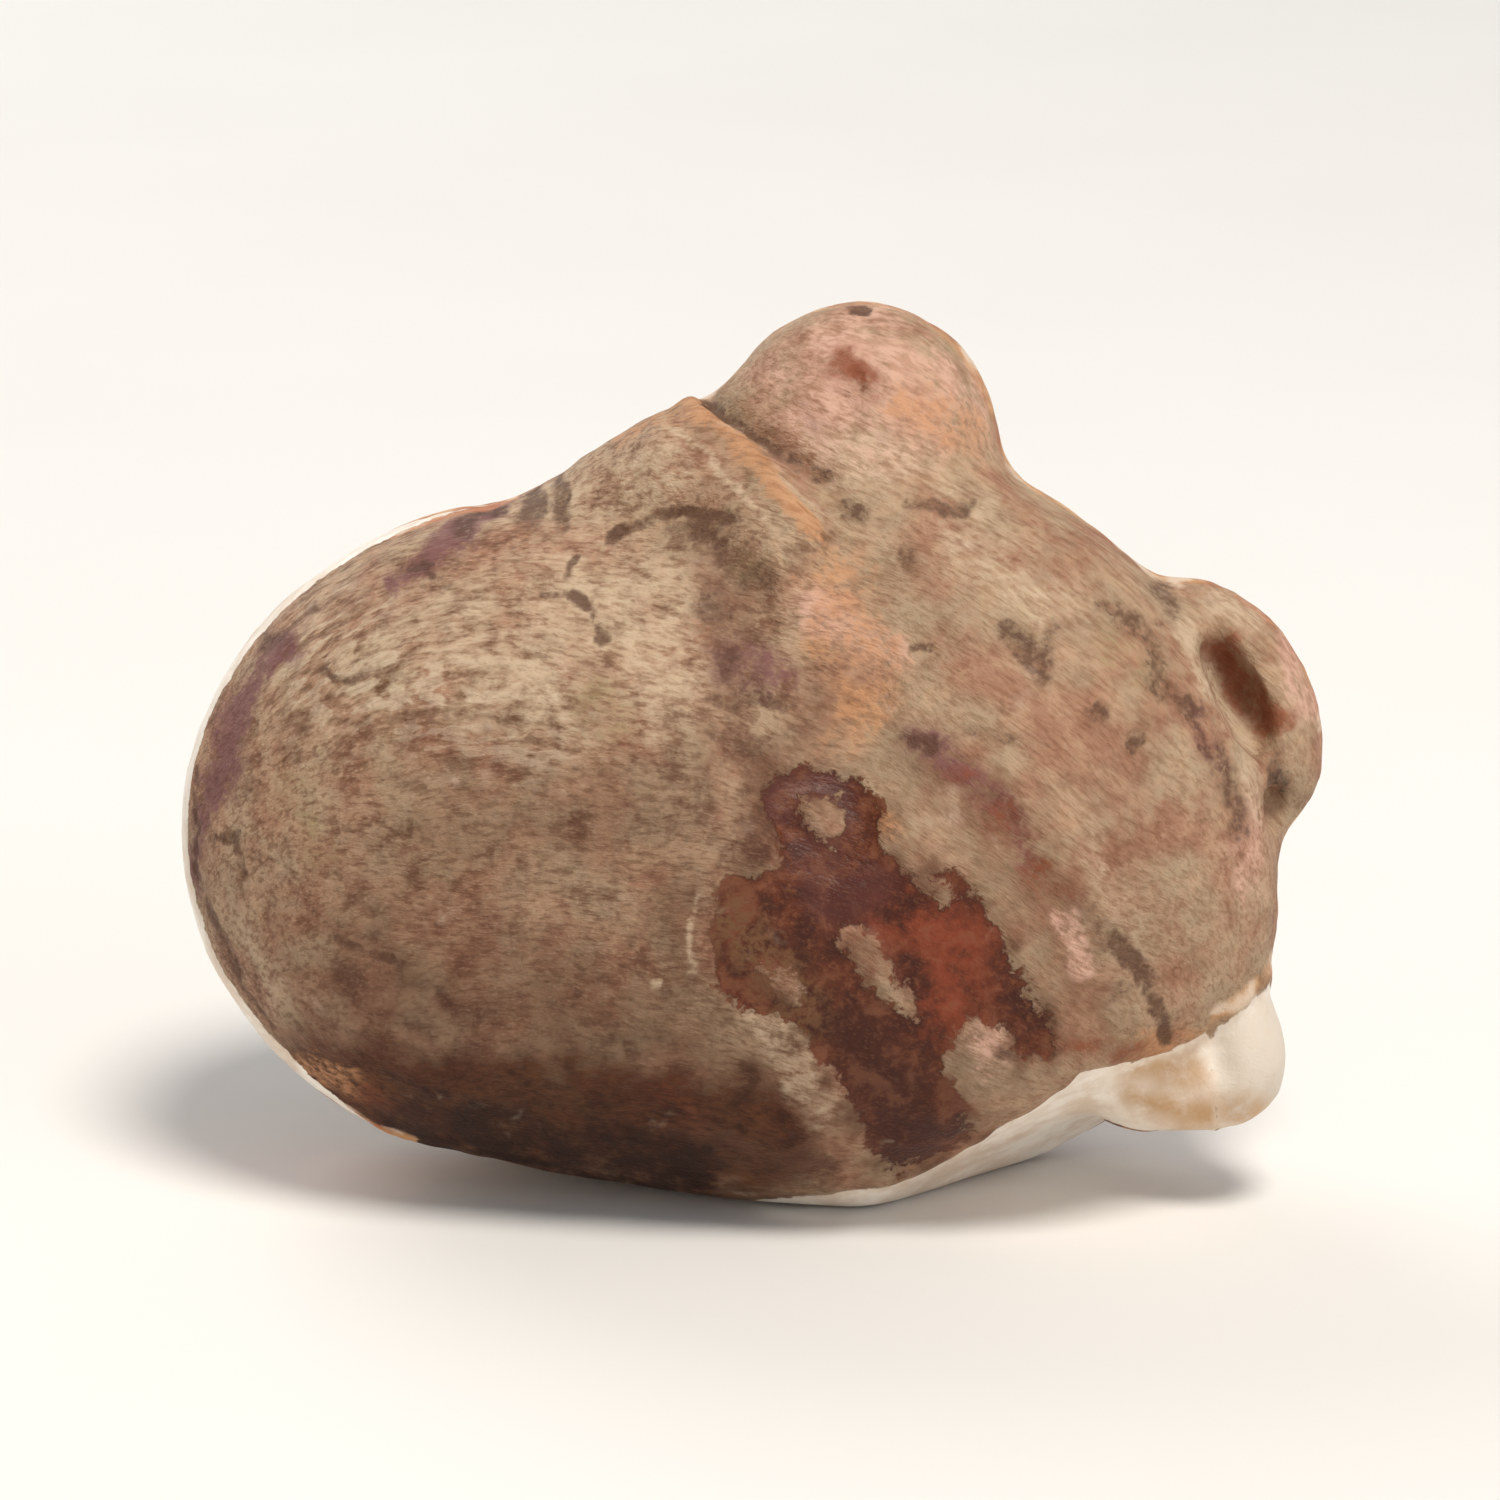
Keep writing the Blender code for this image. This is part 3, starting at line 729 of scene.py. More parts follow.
    def patterns(self, tree: bpy.types.NodeTree) -> Sockets:
        """Adds the noises, each of a real size, and reads the kernel's own fields.

        Args:
            tree: The material's tree.

        Returns:
            The sockets by name.
        """
        place = add_node(tree, "TexCoord", {}, {}, "Object")
        place = add_node(tree, "VectorMath", {"operation": "SCALE"}, {0: place, "Scale": 1 / METRES})
        grain = add_node(tree, "Attribute", {"attribute_name": "grain"}, {}, "Vector")
        fibres = (1 / self.fibre_length, 1 / self.fibre_width, 1 / self.fibre_width)
        along = add_node(tree, "Mapping", {}, {0: grain, "Scale": fibres})
        waves = (1 / self.ripple_length, 1 / self.ripple_width, 1 / self.ripple_width)
        across = add_node(tree, "Mapping", {}, {0: grain, "Scale": waves})
        sockets = {}
        for name, where, size, detail, rough in (
            ("fibre", along, 1.0, 3.0, 0.6),
            ("fine_fibre", along, 0.45, 2.0, 0.6),
            ("speck", place, self.speck_size, 3.0, 0.65),
            ("cloud", place, self.patch_size, 4.0, 0.62),
            ("patch", place, 1.5 * self.patch_size, 4.0, 0.55),
            ("blotch", place, self.blotch_size, 4.0, 0.6),
            ("grit", place, self.grit_size, 2.0, 0.6),
            ("ripple_grain", across, 1.0, 2.0, 0.5),
        ):
            inputs = {"Vector": where, "Scale": 1 / size, "Detail": detail, "Roughness": rough}
            sockets[name] = add_node(tree, "TexNoise", {}, inputs | {"Distortion": 0.25})
        for name in OWN_FIELDS + tuple(stain.value for stain in Stain):
            sockets[name] = add_node(tree, "Attribute", {"attribute_name": name}, {}, "Fac")
        sockets["rough_skin"] = add_node(
            tree, "MapRange", SOFT, {"Value": sockets["smooth"], "From Min": 1.05, "From Max": 0.0}
        )
        # An edge is frayed by adding weighted noise to how deep inside it a point lies.
        for name, weights, low, high in (
            ("flake", {"speck": 0.9, "cloud": 1.8}, 1.25, 1.47),
            ("thin", {"patch": 1.6}, 1.0, 1.55),
            ("flesh", {"speck": 0.35}, 0.145, 0.225),
        ):
            depth = sockets[name]
            for noise, weight in weights.items():
                depth = add_node(tree, "Math", TIMES_PLUS, {0: sockets[noise], 1: weight, 2: depth})
            ends = {"Value": depth, "From Min": low, "From Max": high}
            sockets[name + "_edge"] = add_node(tree, "MapRange", SOFT, ends)
        return sockets

    def laid(
        self, tree: bpy.types.NodeTree, sockets: Sockets, under: object, layers: tuple[Layer, ...]
    ) -> bpy.types.NodeSocket:
        """Lays washes of colour over each other.

        Args:
            tree: The material's tree.
            sockets: The patterns and fields by name.
            under: The colour or socket they lie on.
            layers: The washes, lowest first.

        Returns:
            The colour of all of them together.
        """
        for layer in layers:
            ends = {"Value": sockets[layer.pattern], "From Min": layer.low, "From Max": layer.high}
            ends |= {"To Min": layer.least, "To Max": layer.share}
            share = add_node(tree, "MapRange", SOFT, ends)
            if layer.where:
                share = add_node(tree, "Math", TIMES, {0: share, 1: sockets[layer.where]})
            way = DARKENING if layer.darkens else OVER
            under = add_node(tree, "Mix", way, {0: share, 6: under, 7: linear(layer.colour)}, 2)
        return under

    def stained(
        self, tree: bpy.types.NodeTree, sockets: Sockets, coat: bpy.types.NodeSocket
    ) -> bpy.types.NodeSocket:
        """Soaks the stains in along the fibres, so that each one breaks up at its edge. The umber and black
        ones carry painted shade as well.

        Args:
            tree: The material's tree.
            sockets: The patterns and fields by name.
            coat: The colour of the clean coat.

        Returns:
            The colour of the stained coat.
        """
        tooth = -1.2
        for noise, weight in (("cloud", 0.8), ("fibre", 0.7), ("speck", 0.9)):
            tooth = add_node(tree, "Math", TIMES_PLUS, {0: sockets[noise], 1: weight, 2: tooth})
        for stain, colour in self.stain_colours().items():
            bite = 2.0 if stain in (Stain.UMBER_AND_SHADE, Stain.PURPLE, Stain.HONEY) else 1.3
            most = 0.74 if stain is Stain.HONEY else 0.86
            field = sockets[stain.value]
            soaked = add_node(tree, "Math", TIMES_PLUS, {0: tooth, 1: bite, 2: field})
            soaked = add_node(
                tree, "MapRange", SOFT, {"Value": soaked, "From Min": -0.1, "From Max": 0.9, "To Max": most}
            )
            near = add_node(tree, "MapRange", SOFT, {"Value": field, "From Min": 0.03, "From Max": 0.45})
            share = add_node(tree, "Math", TIMES, {0: soaked, 1: near})
            coat = add_node(tree, "Mix", OVER, {0: share, 6: coat, 7: linear(colour)}, 2)
        return coat

    def relief(self, tree: bpy.types.NodeTree, sockets: Sockets) -> bpy.types.NodeSocket:
        """Works out the fine relief of fibres, specks and grit.

        Args:
            tree: The material's tree.
            sockets: The patterns and fields by name.

        Returns:
            The bumped normal.
        """
        fibres = add_node(tree, "Math", TIMES_PLUS, {0: sockets["fine_fibre"], 1: 0.6, 2: sockets["fibre"]})
        covered = 1.0
        for edge, weight in (("flake_edge", -0.6), ("flesh_edge", -1.0)):
            covered = add_node(tree, "Math", TIMES_PLUS, {0: sockets[edge], 1: weight, 2: covered})
        height = add_node(tree, "Math", TIMES, {0: fibres, 1: covered})
        rippled = add_node(tree, "Math", TIMES, {0: sockets["ripple_grain"], 1: sockets["ripple"]})
        for part, weight in ((sockets["speck"], 0.5), (sockets["grit"], 0.25), (rippled, 2.6)):
            height = add_node(tree, "Math", TIMES_PLUS, {0: part, 1: weight, 2: height})
        depth = {"Strength": 0.8, "Distance": self.relief_height * METRES, "Height": height}
        return add_node(tree, "Bump", {}, depth)

    def make(self) -> bpy.types.Material:
        """Builds the node tree.

        Returns:
            The finished material.
        """
        material = empty_material(self.name)
        tree = material.node_tree
        sockets = self.patterns(tree)
        colour = self.laid(tree, sockets, linear(self.coat_middle), self.coat_layers())
        colour = self.stained(tree, sockets, colour)
        colour = self.laid(tree, sockets, colour, self.worn_layers())
        for edge, under, layers in (
            ("flake_edge", self.inner_dark, self.inner_layers()),
            ("thin_edge", self.thin_skin_red, self.thin_layers()),
            ("flesh_edge", self.flesh_white, self.flesh_layers()),
        ):
            over = self.laid(tree, sockets, linear(under), layers)
            colour = add_node(tree, "Mix", OVER, {0: sockets[edge], 6: colour, 7: over}, 2)
        # The outer coat is dull; the inner coat, thin skin and damp flesh shine a little.
        rough = self.roughness
        for name, weight in (
            ("speck", 0.24), ("flake_edge", -0.26), ("thin_edge", -0.2), ("flesh_edge", -0.22),
        ):
            rough = add_node(tree, "Math", TIMES_PLUS, {0: sockets[name], 1: weight, 2: rough})
        rough = add_node(tree, "Math", {"operation": "MAXIMUM"}, {0: rough, 1: self.least_roughness})
        shader = add_node(
            tree,
            "BsdfPrincipled",
            {},
            {
                "Base Color": colour,
                "Roughness": rough,
                "IOR": self.ior,
                "Metallic": 0.0,
                "Specular IOR Level": 0.28,
                "Subsurface Weight": 0.06,
                "Subsurface Radius": (1.0, 0.45, 0.25),
                "Subsurface Scale": 0.8 * METRES,
                "Normal": self.relief(tree, sockets),
            },
        )
        add_node(tree, "OutputMaterial", {}, {"Surface": shader})
        return material


@dataclass
class Kernel:
    """The kernel itself: a two-lobed body with a knob, an ear and a cut tip.

    Its own frame is the upright one that it grew in, before it leans back and rolls.
    Angles round its outline are in degrees, anticlockwise from the right.
    """

    coat: SeedCoat
    voxel: float = 0.39
    smoothing: int = 8
    evening: int = 2
    lump_size: float = 5.5
    lump_height: float = 0.2
    knobble_size: float = 1.8
    knobble_height: float = 0.1
    fibre_length: float = 1.5
    fibre_width: float = 0.55
    fibre_height: float = 0.045
    ripple_height: float = 0.09
    grain_bow: float = 0.02
    grain_wander: float = 9.0
    coat_thickness: float = 0.14
    curled_edge: float = 0.06
    crease_depth: float = 0.14
    vein_height: float = 0.07
    fold_height: float = 0.32
    groove_depth: float = 0.3
    neck_depth: float = 0.26
    mark_wander: float = 0.55
    lean_back: float = 9.0
    roll_left: float = 2.5
    grown_from_middle: tuple[float, float] = (-0.17, 0.14)
    grown_height: float = 12.76
    knob_middle: Point = (4.0, 0.7, 12.4)
    ear_middle: Point = (16.4, 0.7, 2.9)
    tip_middle: Point = (16.3, -1.2, -8.55)
    tip_reach: Point = (2.0, 2.6, 2.8)
    tip_left: float = 14.3
    cut_point: Point = (8.2, 0.0, -12.25)
    cut_outward: Point = (0.429, -0.326, -0.843)
    cut_left: float = -1.4
    cut_right: float = 15.4
    rim_start: float = 128.0
    rim_end: float = 226.0
    rim_lean: float = 16.0
    rim_extra_lean: float = 6.5
    rim_width: float = 1.9
    rim_height: float = 0.07
    mm_per_degree: float = 0.117
    band_front: float = -1.0
    band_back: float = 1.6
    seed: int = 41

    def build(self) -> bpy.types.Object:
        """Makes the skin piece and dresses it.

        Returns:
            The finished piece, riding on the kernel's body.
        """
        piece = self.fine_copy()
        self.read(piece)
        self.paint_fields()
        self.grow()
        self.write(piece)
        piece.data.materials.clear()
        piece.data.materials.append(self.coat.make())
        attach(piece, BODY)
        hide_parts(NODE)
        return piece

    def fine_copy(self) -> bpy.types.Object:
        """Copies the CAD kernel and rebuilds it as fine, even, smooth faces.

        Returns:
            A new object whose mesh is in millimetres.
        """
        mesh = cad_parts[NODE].data.copy()
        for vertex in mesh.vertices:
            vertex.co /= METRES
        piece = bpy.data.objects.new("kernel_skin", mesh)
        bpy.context.scene.collection.objects.link(piece)
        piece.modifiers.new("weld", "WELD").merge_threshold = 0.001
        remesh = piece.modifiers.new("remesh", "REMESH")
        remesh.mode, remesh.voxel_size = "VOXEL", self.voxel
        smooth = piece.modifiers.new("smooth", "SMOOTH")
        smooth.factor, smooth.iterations = 0.5, self.smoothing
        finer = piece.modifiers.new("finer", "SUBSURF")
        finer.levels = finer.render_levels = 1
        evaluated = piece.evaluated_get(bpy.context.evaluated_depsgraph_get())
        baked = bpy.data.meshes.new_from_object(evaluated)
        piece.modifiers.clear()
        piece.data = baked
        piece.data.name = "kernel_skin"
        return piece

    def read(self, piece: bpy.types.Object) -> None:
        """Reads the piece's points and works out the places the fields need.

        Args:
            piece: The fine copy, in millimetres.
        """
        mesh = piece.data
        count = len(mesh.vertices)
        points, normals = np.empty(count * 3), np.empty(count * 3)
        mesh.vertices.foreach_get("co", points)
        mesh.vertices.foreach_get("normal", normals)
        self.points, self.normals = points.reshape(-1, 3), normals.reshape(-1, 3)
        edges = np.empty(len(mesh.edges) * 2, int)
        mesh.edges.foreach_get("vertices", edges)
        self.edges = edges.reshape(-1, 2)
        self.low, high = (np.array(corner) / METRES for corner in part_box(NODE))
        self.middle = (self.low + high) / 2
        across, back = self.grown_from_middle
        grown = (self.middle[0] + across, self.middle[1] + back, self.low[2] + self.grown_height)
        pose = turn("x", -self.lean_back) @ turn("y", -self.roll_left)
        self.own = (self.points - np.array(grown)) @ pose
        self.own_normals = self.normals @ pose
        self.front, self.seen = FRONT.flatten(self.points, self.middle), FRONT.facing(self.normals)
        self.back, self.hidden = BACK.flatten(self.points, self.middle), BACK.facing(self.normals)
        self.noise = Uneven(self.seed)
        self.rag = self.noise.at(self.own, 1.1, 4)
        wander = [self.mark_wander * self.noise.at(self.own + shift, 2.0, 4) for shift in (70.0, 90.0)]
        self.wander = np.stack(wander, axis=1)

    def away_from(self, place: Point, reach: Point = (1.0, 1.0, 1.0)) -> np.ndarray:
        """Gives each point's distance from a place in the own frame, in parts of the reach."""
        return np.linalg.norm((self.own - np.array(place)) / np.array(reach), axis=1)

    def side_cover(
        self, places: np.ndarray, facing: np.ndarray, marks: tuple[Mark, ...], patchiness: float
    ) -> np.ndarray:
        """Lays one side's marks of one stain on the surface.

        Args:
            places: Each point's place as seen from that side.
            facing: How far the surface faces that side.
            marks: The marks of one stain.
            patchiness: How much the stain comes and goes along a mark.

        Returns:
            How strongly the stain covers each point, 0 to 1.
        """
        cover = np.zeros(len(places))
        for mark in marks:
            cover = np.maximum(cover, mark.cover(places + self.wander, self.rag))
        return cover * (0.78 + patchiness * self.noise.at(self.own + 11.0, 1.2, 3)) * facing

    def paint_fields(self) -> None:
        """Works out every field that the material and the growth use."""
        fields = self.fields = {}
        for stain in Stain:
            patchiness = 0.25 if stain is Stain.BROWN else 0.8
            fields[stain.value] = np.maximum(
                self.side_cover(self.front, self.seen, FRONT_MARKS[stain], patchiness),
                self.side_cover(self.back, self.hidden, BACK_MARKS[stain], patchiness),
            )
        self.paint_natural_mottle()
        fields["flake"] = self.flaked()
        knob = 0.95 * (1 - ease(4.6, 8.0, self.away_from(self.knob_middle)))
        ear = 0.8 * (1 - ease(2.0, 4.0, self.away_from(self.ear_middle)))
        right_lobe = 0.75 * ease(1.0, 5.0, self.own[:, 0])
        fields["smooth"] = np.maximum(np.maximum(knob, ear), right_lobe)
        for name, mark in INNER_MARKS.items():
            fields[name] = mark.cover(self.front, self.rag) * self.seen
        halo = 0.75 * np.exp(-((fields["flake"] / 0.9) ** 2)) * ease(-0.5, 0.5, self.rag)
        fields[Stain.BROWN.value] = np.maximum(fields[Stain.BROWN.value], halo)
        self.paint_bare_flesh()
        rag = self.noise.at(self.own, 2.0, 2)
        fields["ripple"] = np.maximum(
            FRONT_RIPPLES.cover(self.front, rag) * self.seen,
            BACK_RIPPLES.cover(self.back, rag) * self.hidden,
        )

    def paint_natural_mottle(self) -> None:
        """Adds the small chance stains that lie all over, most on the sides and back."""
        elsewhere = 1 - 0.75 * self.seen
        for stain, wavelength, level, strength in (
            (Stain.PALE, 5.0, 0.1, 0.6),
            (Stain.UMBER_AND_SHADE, 2.6, 0.24, 0.85),
            (Stain.PURPLE, 4.0, 0.26, 0.8),
            (Stain.HONEY, 4.6, 0.3, 0.6),
            (Stain.OLIVE, 4.4, 0.3, 0.4),
        ):
            shift = 31.0 * (1 + list(Stain).index(stain))
            chance = self.noise.at(self.own + shift, wavelength, 3)
            spots = strength * ease(level, level + 0.3, chance) * elsewhere
            self.fields[stain.value] = np.maximum(self.fields[stain.value], spots)

    def flaked(self) -> np.ndarray:
        """Works out where the outer coat has flaked off.

        Returns:
            The depth inside a flaked patch, negative outside.
        """
        depth = FLAKE.depth(self.front)
        for islet in ISLETS:
            depth = np.minimum(depth, -islet.depth(self.front))
        depth = np.where(self.seen > IN_SIGHT, depth, NOT_FLAKED)
        behind = BACK_FLAKE.depth(self.back)
        return np.maximum(depth, np.where(self.hidden > IN_SIGHT, behind, NOT_FLAKED))

    def knife_cut(self) -> np.ndarray:
        """Works out where a knife took the skin off, below the right lobe.

        Returns:
            The depth inside the cut, negative outside.
        """
        outward = np.array(self.cut_outward)
        below = (self.own - np.array(self.cut_point)) @ outward + 0.16
        below += 0.12 * self.noise.at(self.own, 1.5, 2)
        faces_cut = (self.own_normals @ outward > 0.8) & (self.seen < IN_SIGHT)
        across, up = self.front.T
        edge = np.interp(across, *np.array(CUT_EDGE).T)
        strip = 0.8 * (edge - up) + 0.1 * self.noise.at(self.own, 0.9, 3)
        reached = (self.seen > IN_SIGHT) & (across > self.cut_left) & (self.own[:, 0] < self.cut_right)
        return np.maximum(np.where(faces_cut, below, NOT_BARE), np.where(reached, strip, NOT_BARE))

    def left_rim(self) -> tuple[np.ndarray, np.ndarray]:
        """Works out the rim of bare flesh round the left lobe.

        Returns:
            Where the surface belongs to that margin, and how far past its front edge it lies.
        """
        across, up = self.front.T
        lean = np.degrees(np.arcsin(np.clip(-(self.normals @ FRONT.axes()[2]), -1, 1)))
        angle = np.degrees(np.arctan2(up + 1.5, across)) % 360
        start, end = self.rim_start, self.rim_end
        left = ease(start - 4, start + 4, angle) * (1 - ease(end - 4, end + 4, angle)) > 0.5
        limit = self.rim_lean + self.rim_extra_lean * ease(150, 190, angle)
        reach = self.mm_per_degree * (limit + 1.2 * self.noise.at(self.own, 3.0, 3) - lean)
        taper = ease(start, start + 30, angle) * (1 - ease(end - 18, end, angle))
        rim = np.minimum(reach, self.rim_width - reach) - 1.1 * (1 - taper)
        self.rim = np.where(left, rim, NOT_BARE)
        return left, reach

    def paint_bare_flesh(self) -> None:
        """Works out where the flesh is bare and where the skin over it is thin."""
        x, y, _ = self.own.T
        left, reach = self.left_rim()
        tip = 2.2 * (1.0 - self.away_from(self.tip_middle, self.tip_reach))
        tip = np.where(x > self.tip_left, tip + 0.15 * self.noise.at(self.own, 1.2, 2), NOT_BARE)
        flesh = np.maximum(np.maximum(self.knife_cut(), self.rim), tip)
        # The dried flesh, with painted shade under the nub.
        dried = np.maximum(*(mark.cover(self.front, self.rag) for mark in DRIED_AND_SHADED_FLESH)) * self.seen
        waver = 0.25 * self.noise.at(self.own, 4.0, 2)
        starts = ease(self.band_front, self.band_front + 1.4, y + waver)
        ends = 1 - ease(self.band_back - 0.3, self.band_back + 0.6, y + 2 * waver)
        band = np.minimum(np.where(left, ease(0.2, 0.6, reach), starts), ends)
        outer = ease(0.35, 0.75, 1 - np.abs(self.own_normals[:, 1]))
        thin = band * outer * np.where(left, 1.0, 0.55)
        collar = 0.5 * np.exp(-(((tip + 0.35) / 0.4) ** 2)) * ease(13.0, 14.4, x)
        self.fields |= {
            "flesh": flesh,
            # The nub's mask, which carries the painted shade on its flesh.
            "nub": ease(-0.1, 0.4, tip),
            "yellow": dried * ease(-0.2, 0.3, flesh),
            "thin": np.maximum(thin, collar),
        }

    def grow(self) -> None:
        """Moves the surface along its normals: lumps, fibres, coat edges, creases and veins."""
        own, noise, fields = self.own, self.noise, self.fields
        grain = self.grain = own.copy()
        grain[:, 2] += self.grain_bow * (own[:, 0] + 7) ** 2 + 0.9 * noise.at(own, self.grain_wander, 2)
        grain[:, 1] += 0.7 * noise.at(own + 50, self.grain_wander, 2)
        fibre_scale = 1 / np.array([self.fibre_length, self.fibre_width, self.fibre_width])
        skin = self.lump_height * noise.at(own, self.lump_size, 2)
        skin += self.knobble_height * noise.at(own, self.knobble_size, 2)
        skin += self.fibre_height * noise.at(grain * fibre_scale, 1.0, 2)
        waves = noise.at(grain * np.array([0.8, 1.9, 1.9]), 1.0, 1)
        skin += self.ripple_height * fields["ripple"] * waves
        rise = skin * (1 - 0.5 * ease(-0.05, 0.15, fields["flesh"]))
        off_rim = 1 - ease(-0.6, -0.2, self.rim)
        cut_step = ease(-0.1, 0.1, fields["flesh"]) * off_rim
        rise -= self.coat_thickness * (ease(-0.12, 0.12, fields["flake"]) + cut_step)
        rise += self.rim_height * ease(-0.15, 0.25, self.rim)
        flesh_edge = np.exp(-((fields["flesh"] + 0.2) / 0.15) ** 2) * off_rim
        flake_edge = np.exp(-((fields["flake"] + 0.25) / 0.2) ** 2)
        rise += self.curled_edge * (flake_edge + flesh_edge)
        rise -= self.crease_depth * fields[Stain.UMBER_AND_SHADE.value] ** 2
        rag = 0.4 * self.rag
        for mark, height, fray in (
            (VEIN, self.vein_height, noise.at(own, 1.0)),
            (FOLD_RIDGE, self.fold_height, rag),
            (FOLD_GROOVE, -self.groove_depth, rag),
            (TIP_NECK, -self.neck_depth, rag),
        ):
            rise += height * mark.cover(self.front, fray) * self.seen
        above_floor = ease(0.15, 1.6, self.points[:, 2] - self.low[2])
        self.points = self.points + self.evened(rise * above_floor)[:, None] * self.normals
        self.points[:, 2] = np.maximum(self.points[:, 2], self.low[2])
        self.points[:, 2] -= self.points[:, 2].min() - self.low[2]

    def evened(self, rise: np.ndarray) -> np.ndarray:
        """Takes sharp jumps out of the growth by sharing it with the points next door.

        Args:
            rise: How far each point moves.

        Returns:
            The same, without spikes.
        """
        a, b = self.edges.T
        count = len(rise)
        near = np.bincount(a, minlength=count) + np.bincount(b, minlength=count)
        for _ in range(self.evening):
            total = np.bincount(a, rise[b], count) + np.bincount(b, rise[a], count)
            rise = 0.5 * rise + 0.5 * total / near
        return rise

    def write(self, piece: bpy.types.Object) -> None:
        """Puts the points and fields back on the piece, in metres.

        Args:
            piece: The piece to finish.
        """
        mesh = piece.data
        mesh.vertices.foreach_set("co", (self.points * METRES).ravel())
        for name, values in self.fields.items():
            layer = mesh.attributes.new(name, "FLOAT", "POINT")
            layer.data.foreach_set("value", values.astype(np.float32))
        layer = mesh.attributes.new("grain", "FLOAT_VECTOR", "POINT")
        layer.data.foreach_set("vector", self.grain.astype(np.float32).ravel())
        mesh.polygons.foreach_set("use_smooth", np.ones(len(mesh.polygons), bool))
        mesh.update()


@dataclass(frozen=True)
class Backdrop:
    """Matt white paper sweep, which gives a clean pale ground with a soft shadow."""

    name: str = "matt_white_paper_sweep"
    paper: str = "#e9e7e4"
    shade: str = "#e4e2de"
    mottle_size: float = 30.0
    glow: float = 0.4
    glow_start: float = 0.15
    glow_full: float = 1.0

    def make(self) -> bpy.types.Material:
        """Builds the paper's material.

        Returns:
            The finished material.
        """
        material = empty_material(self.name)
        tree = material.node_tree
        place = add_node(tree, "TexCoord", {}, {}, "Object")
        spread = {"Vector": place, "Scale": 1 / (self.mottle_size * METRES), "Detail": 2.0}
        mottle = add_node(tree, "TexNoise", {}, spread)
        paper = {0: mottle, 6: linear(self.paper), 7: linear(self.shade)}
        colour = add_node(tree, "Mix", OVER, paper, 2)
        reach = add_node(tree, "VectorMath", {"operation": "LENGTH"}, {0: place}, "Value")
        ends = {"Value": reach, "From Min": self.glow_start, "From Max": self.glow_full}
        glow = add_node(tree, "MapRange", SOFT, ends | {"To Max": self.glow})
        shader = add_node(
            tree,
            "BsdfPrincipled",
            {},
            {
                "Base Color": colour,
                "Roughness": 0.85,
                "IOR": 1.5,
                "Emission Color": linear(self.paper),
                "Emission Strength": glow,
            },
        )
        add_node(tree, "OutputMaterial", {}, {"Surface": shader})
        return material


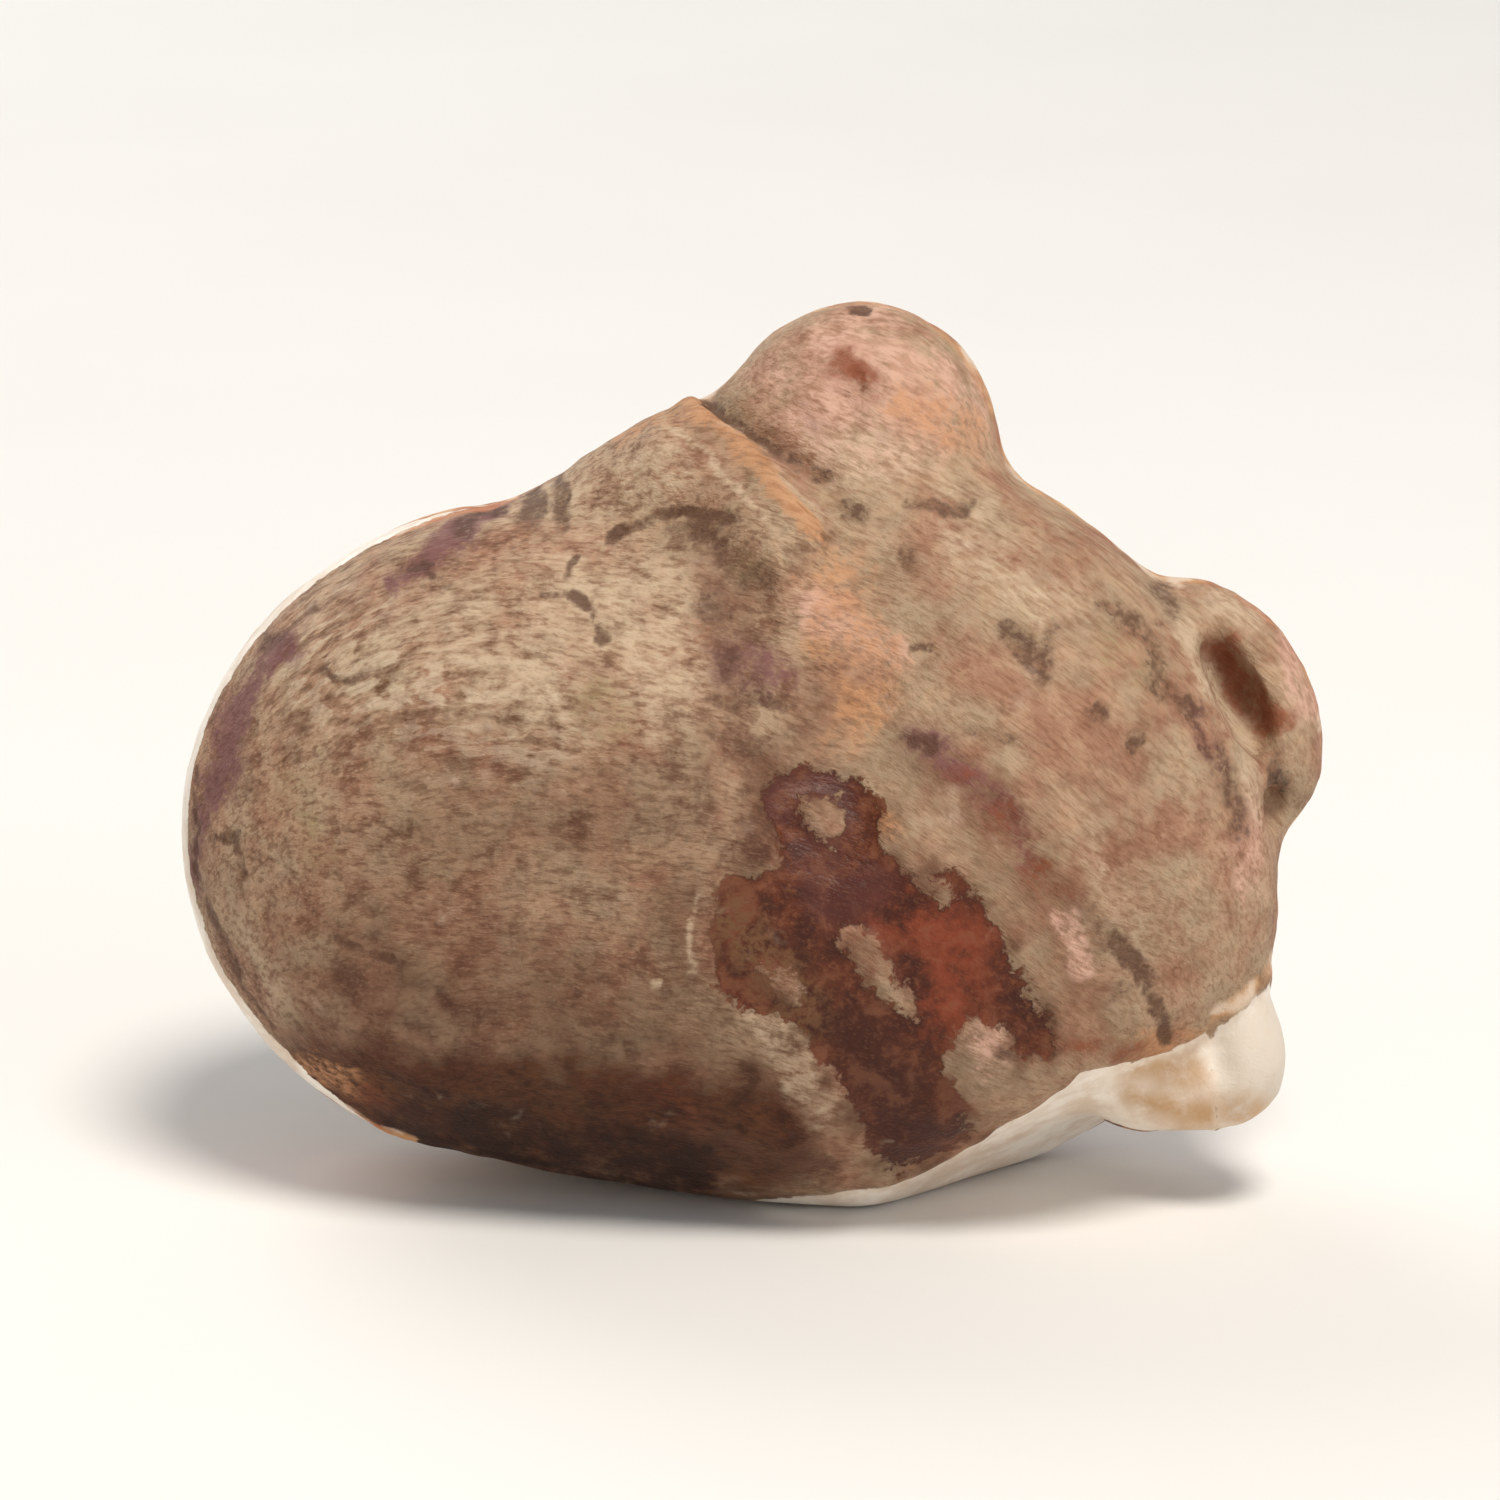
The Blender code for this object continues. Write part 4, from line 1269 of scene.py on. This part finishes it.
@dataclass
class Studio:
    """A pale floor, soft lamps and the camera."""

    outlook: Outlook
    lens: float = 150.0
    sensor: float = 36.0
    fill: float = 0.76
    floor_radius: float = 0.9
    floor_spokes: int = 72
    cove_radius: float = 0.9
    sky: str = "#f2f4f7"
    sky_strength: float = 0.3

    def build(self) -> None:
        """Makes the floor, the lamps, the sky and the camera."""
        low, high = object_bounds()
        self.middle, self.length = (low + high) / 2, high.x - low.x
        self.floor(low.z)
        self.lamps()
        self.world()
        self.camera()
        bpy.context.scene.view_settings.view_transform = "Standard"

    def floor(self, height: float) -> None:
        """Lays the round floor under the kernel, with its edge swept up into a pale cove.

        Args:
            height: The height of the floor's top, in metres.
        """
        rings = [(self.floor_radius * share**2, height) for share in np.linspace(0.01, 1.0, 24)]
        for bend in np.linspace(0, math.pi / 2, 16)[1:]:
            out, rise = self.cove_radius * math.sin(bend), self.cove_radius * (1 - math.cos(bend))
            rings.append((self.floor_radius + out, height + rise))
        spokes = self.floor_spokes
        angles = [2 * math.pi * spoke / spokes for spoke in range(spokes)]
        points = [
            (self.middle.x + radius * math.cos(angle), self.middle.y + radius * math.sin(angle), level)
            for radius, level in rings
            for angle in angles
        ]
        faces = [
            (inner + spoke, inner + spokes + spoke, inner + spokes + after, inner + after)
            for inner in range(0, (len(rings) - 1) * spokes, spokes)
            for spoke, after in zip(range(spokes), [*range(1, spokes), 0])
        ]
        mesh = bpy.data.meshes.new("studio_floor")
        mesh.from_pydata(points, [], faces)
        mesh.polygons.foreach_set("use_smooth", np.ones(len(mesh.polygons), bool))
        mesh.materials.append(Backdrop().make())
        sheet = bpy.data.objects.new("studio_floor", mesh)
        bpy.context.scene.collection.objects.link(sheet)
        sheet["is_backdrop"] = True

    def lamps(self) -> None:
        """Hangs the soft lamps: a key above and in front, a fill at the right and one behind."""
        for name, place, size, watts, colour in (
            ("key", (0.12, -0.2, 0.5), 0.2, 2.7, "#fff9f0"),
            ("fill", (0.45, -0.28, 0.16), 0.4, 0.5, "#f4f7ff"),
            ("rear", (-0.3, 0.36, 0.3), 0.4, 1.2, "#ffffff"),
        ):
            data = bpy.data.lights.new(name, "AREA")
            data.shape, data.size, data.energy = "DISK", size, watts
            data.color = linear(colour)[:3]
            lamp = bpy.data.objects.new(name, data)
            lamp.location = self.middle + Vector(place)
            lamp.rotation_mode = "QUATERNION"
            lamp.rotation_quaternion = (-Vector(place)).to_track_quat("-Z", "Y")
            bpy.context.scene.collection.objects.link(lamp)

    def world(self) -> None:
        """Gives the pale light that comes from all round."""
        world = bpy.data.worlds.new("studio_air")
        world.use_nodes = True
        back = world.node_tree.nodes["Background"]
        back.inputs["Color"].default_value = linear(self.sky)
        back.inputs["Strength"].default_value = self.sky_strength
        bpy.context.scene.world = world

    def camera(self) -> None:
        """Sets up the camera so that the kernel fills its share of the frame."""
        data = bpy.data.cameras.new("camera")
        data.lens, data.sensor_width = self.lens, self.sensor
        camera = bpy.data.objects.new("camera", data)
        away = Vector(self.outlook.axes()[2])
        reach = self.length / self.fill * self.lens / self.sensor
        camera.location = self.middle - away * reach
        camera.rotation_mode = "QUATERNION"
        camera.rotation_quaternion = away.to_track_quat("-Z", "Y")
        data.clip_start, data.clip_end = 0.01, 10.0
        bpy.context.scene.collection.objects.link(camera)
        bpy.context.scene.camera = camera


def main() -> None:
    """Builds the kernel and the studio."""
    logging.basicConfig(level=logging.INFO, format="%(name)s: %(message)s")
    kernel = Kernel(SeedCoat()).build()
    log.info("%s: %d faces, rides on %s", kernel.name, len(kernel.data.polygons), BODY)
    Studio(FRONT).build()
    log.info("studio: floor, three lamps and camera")


if __name__ == "__main__":
    main()
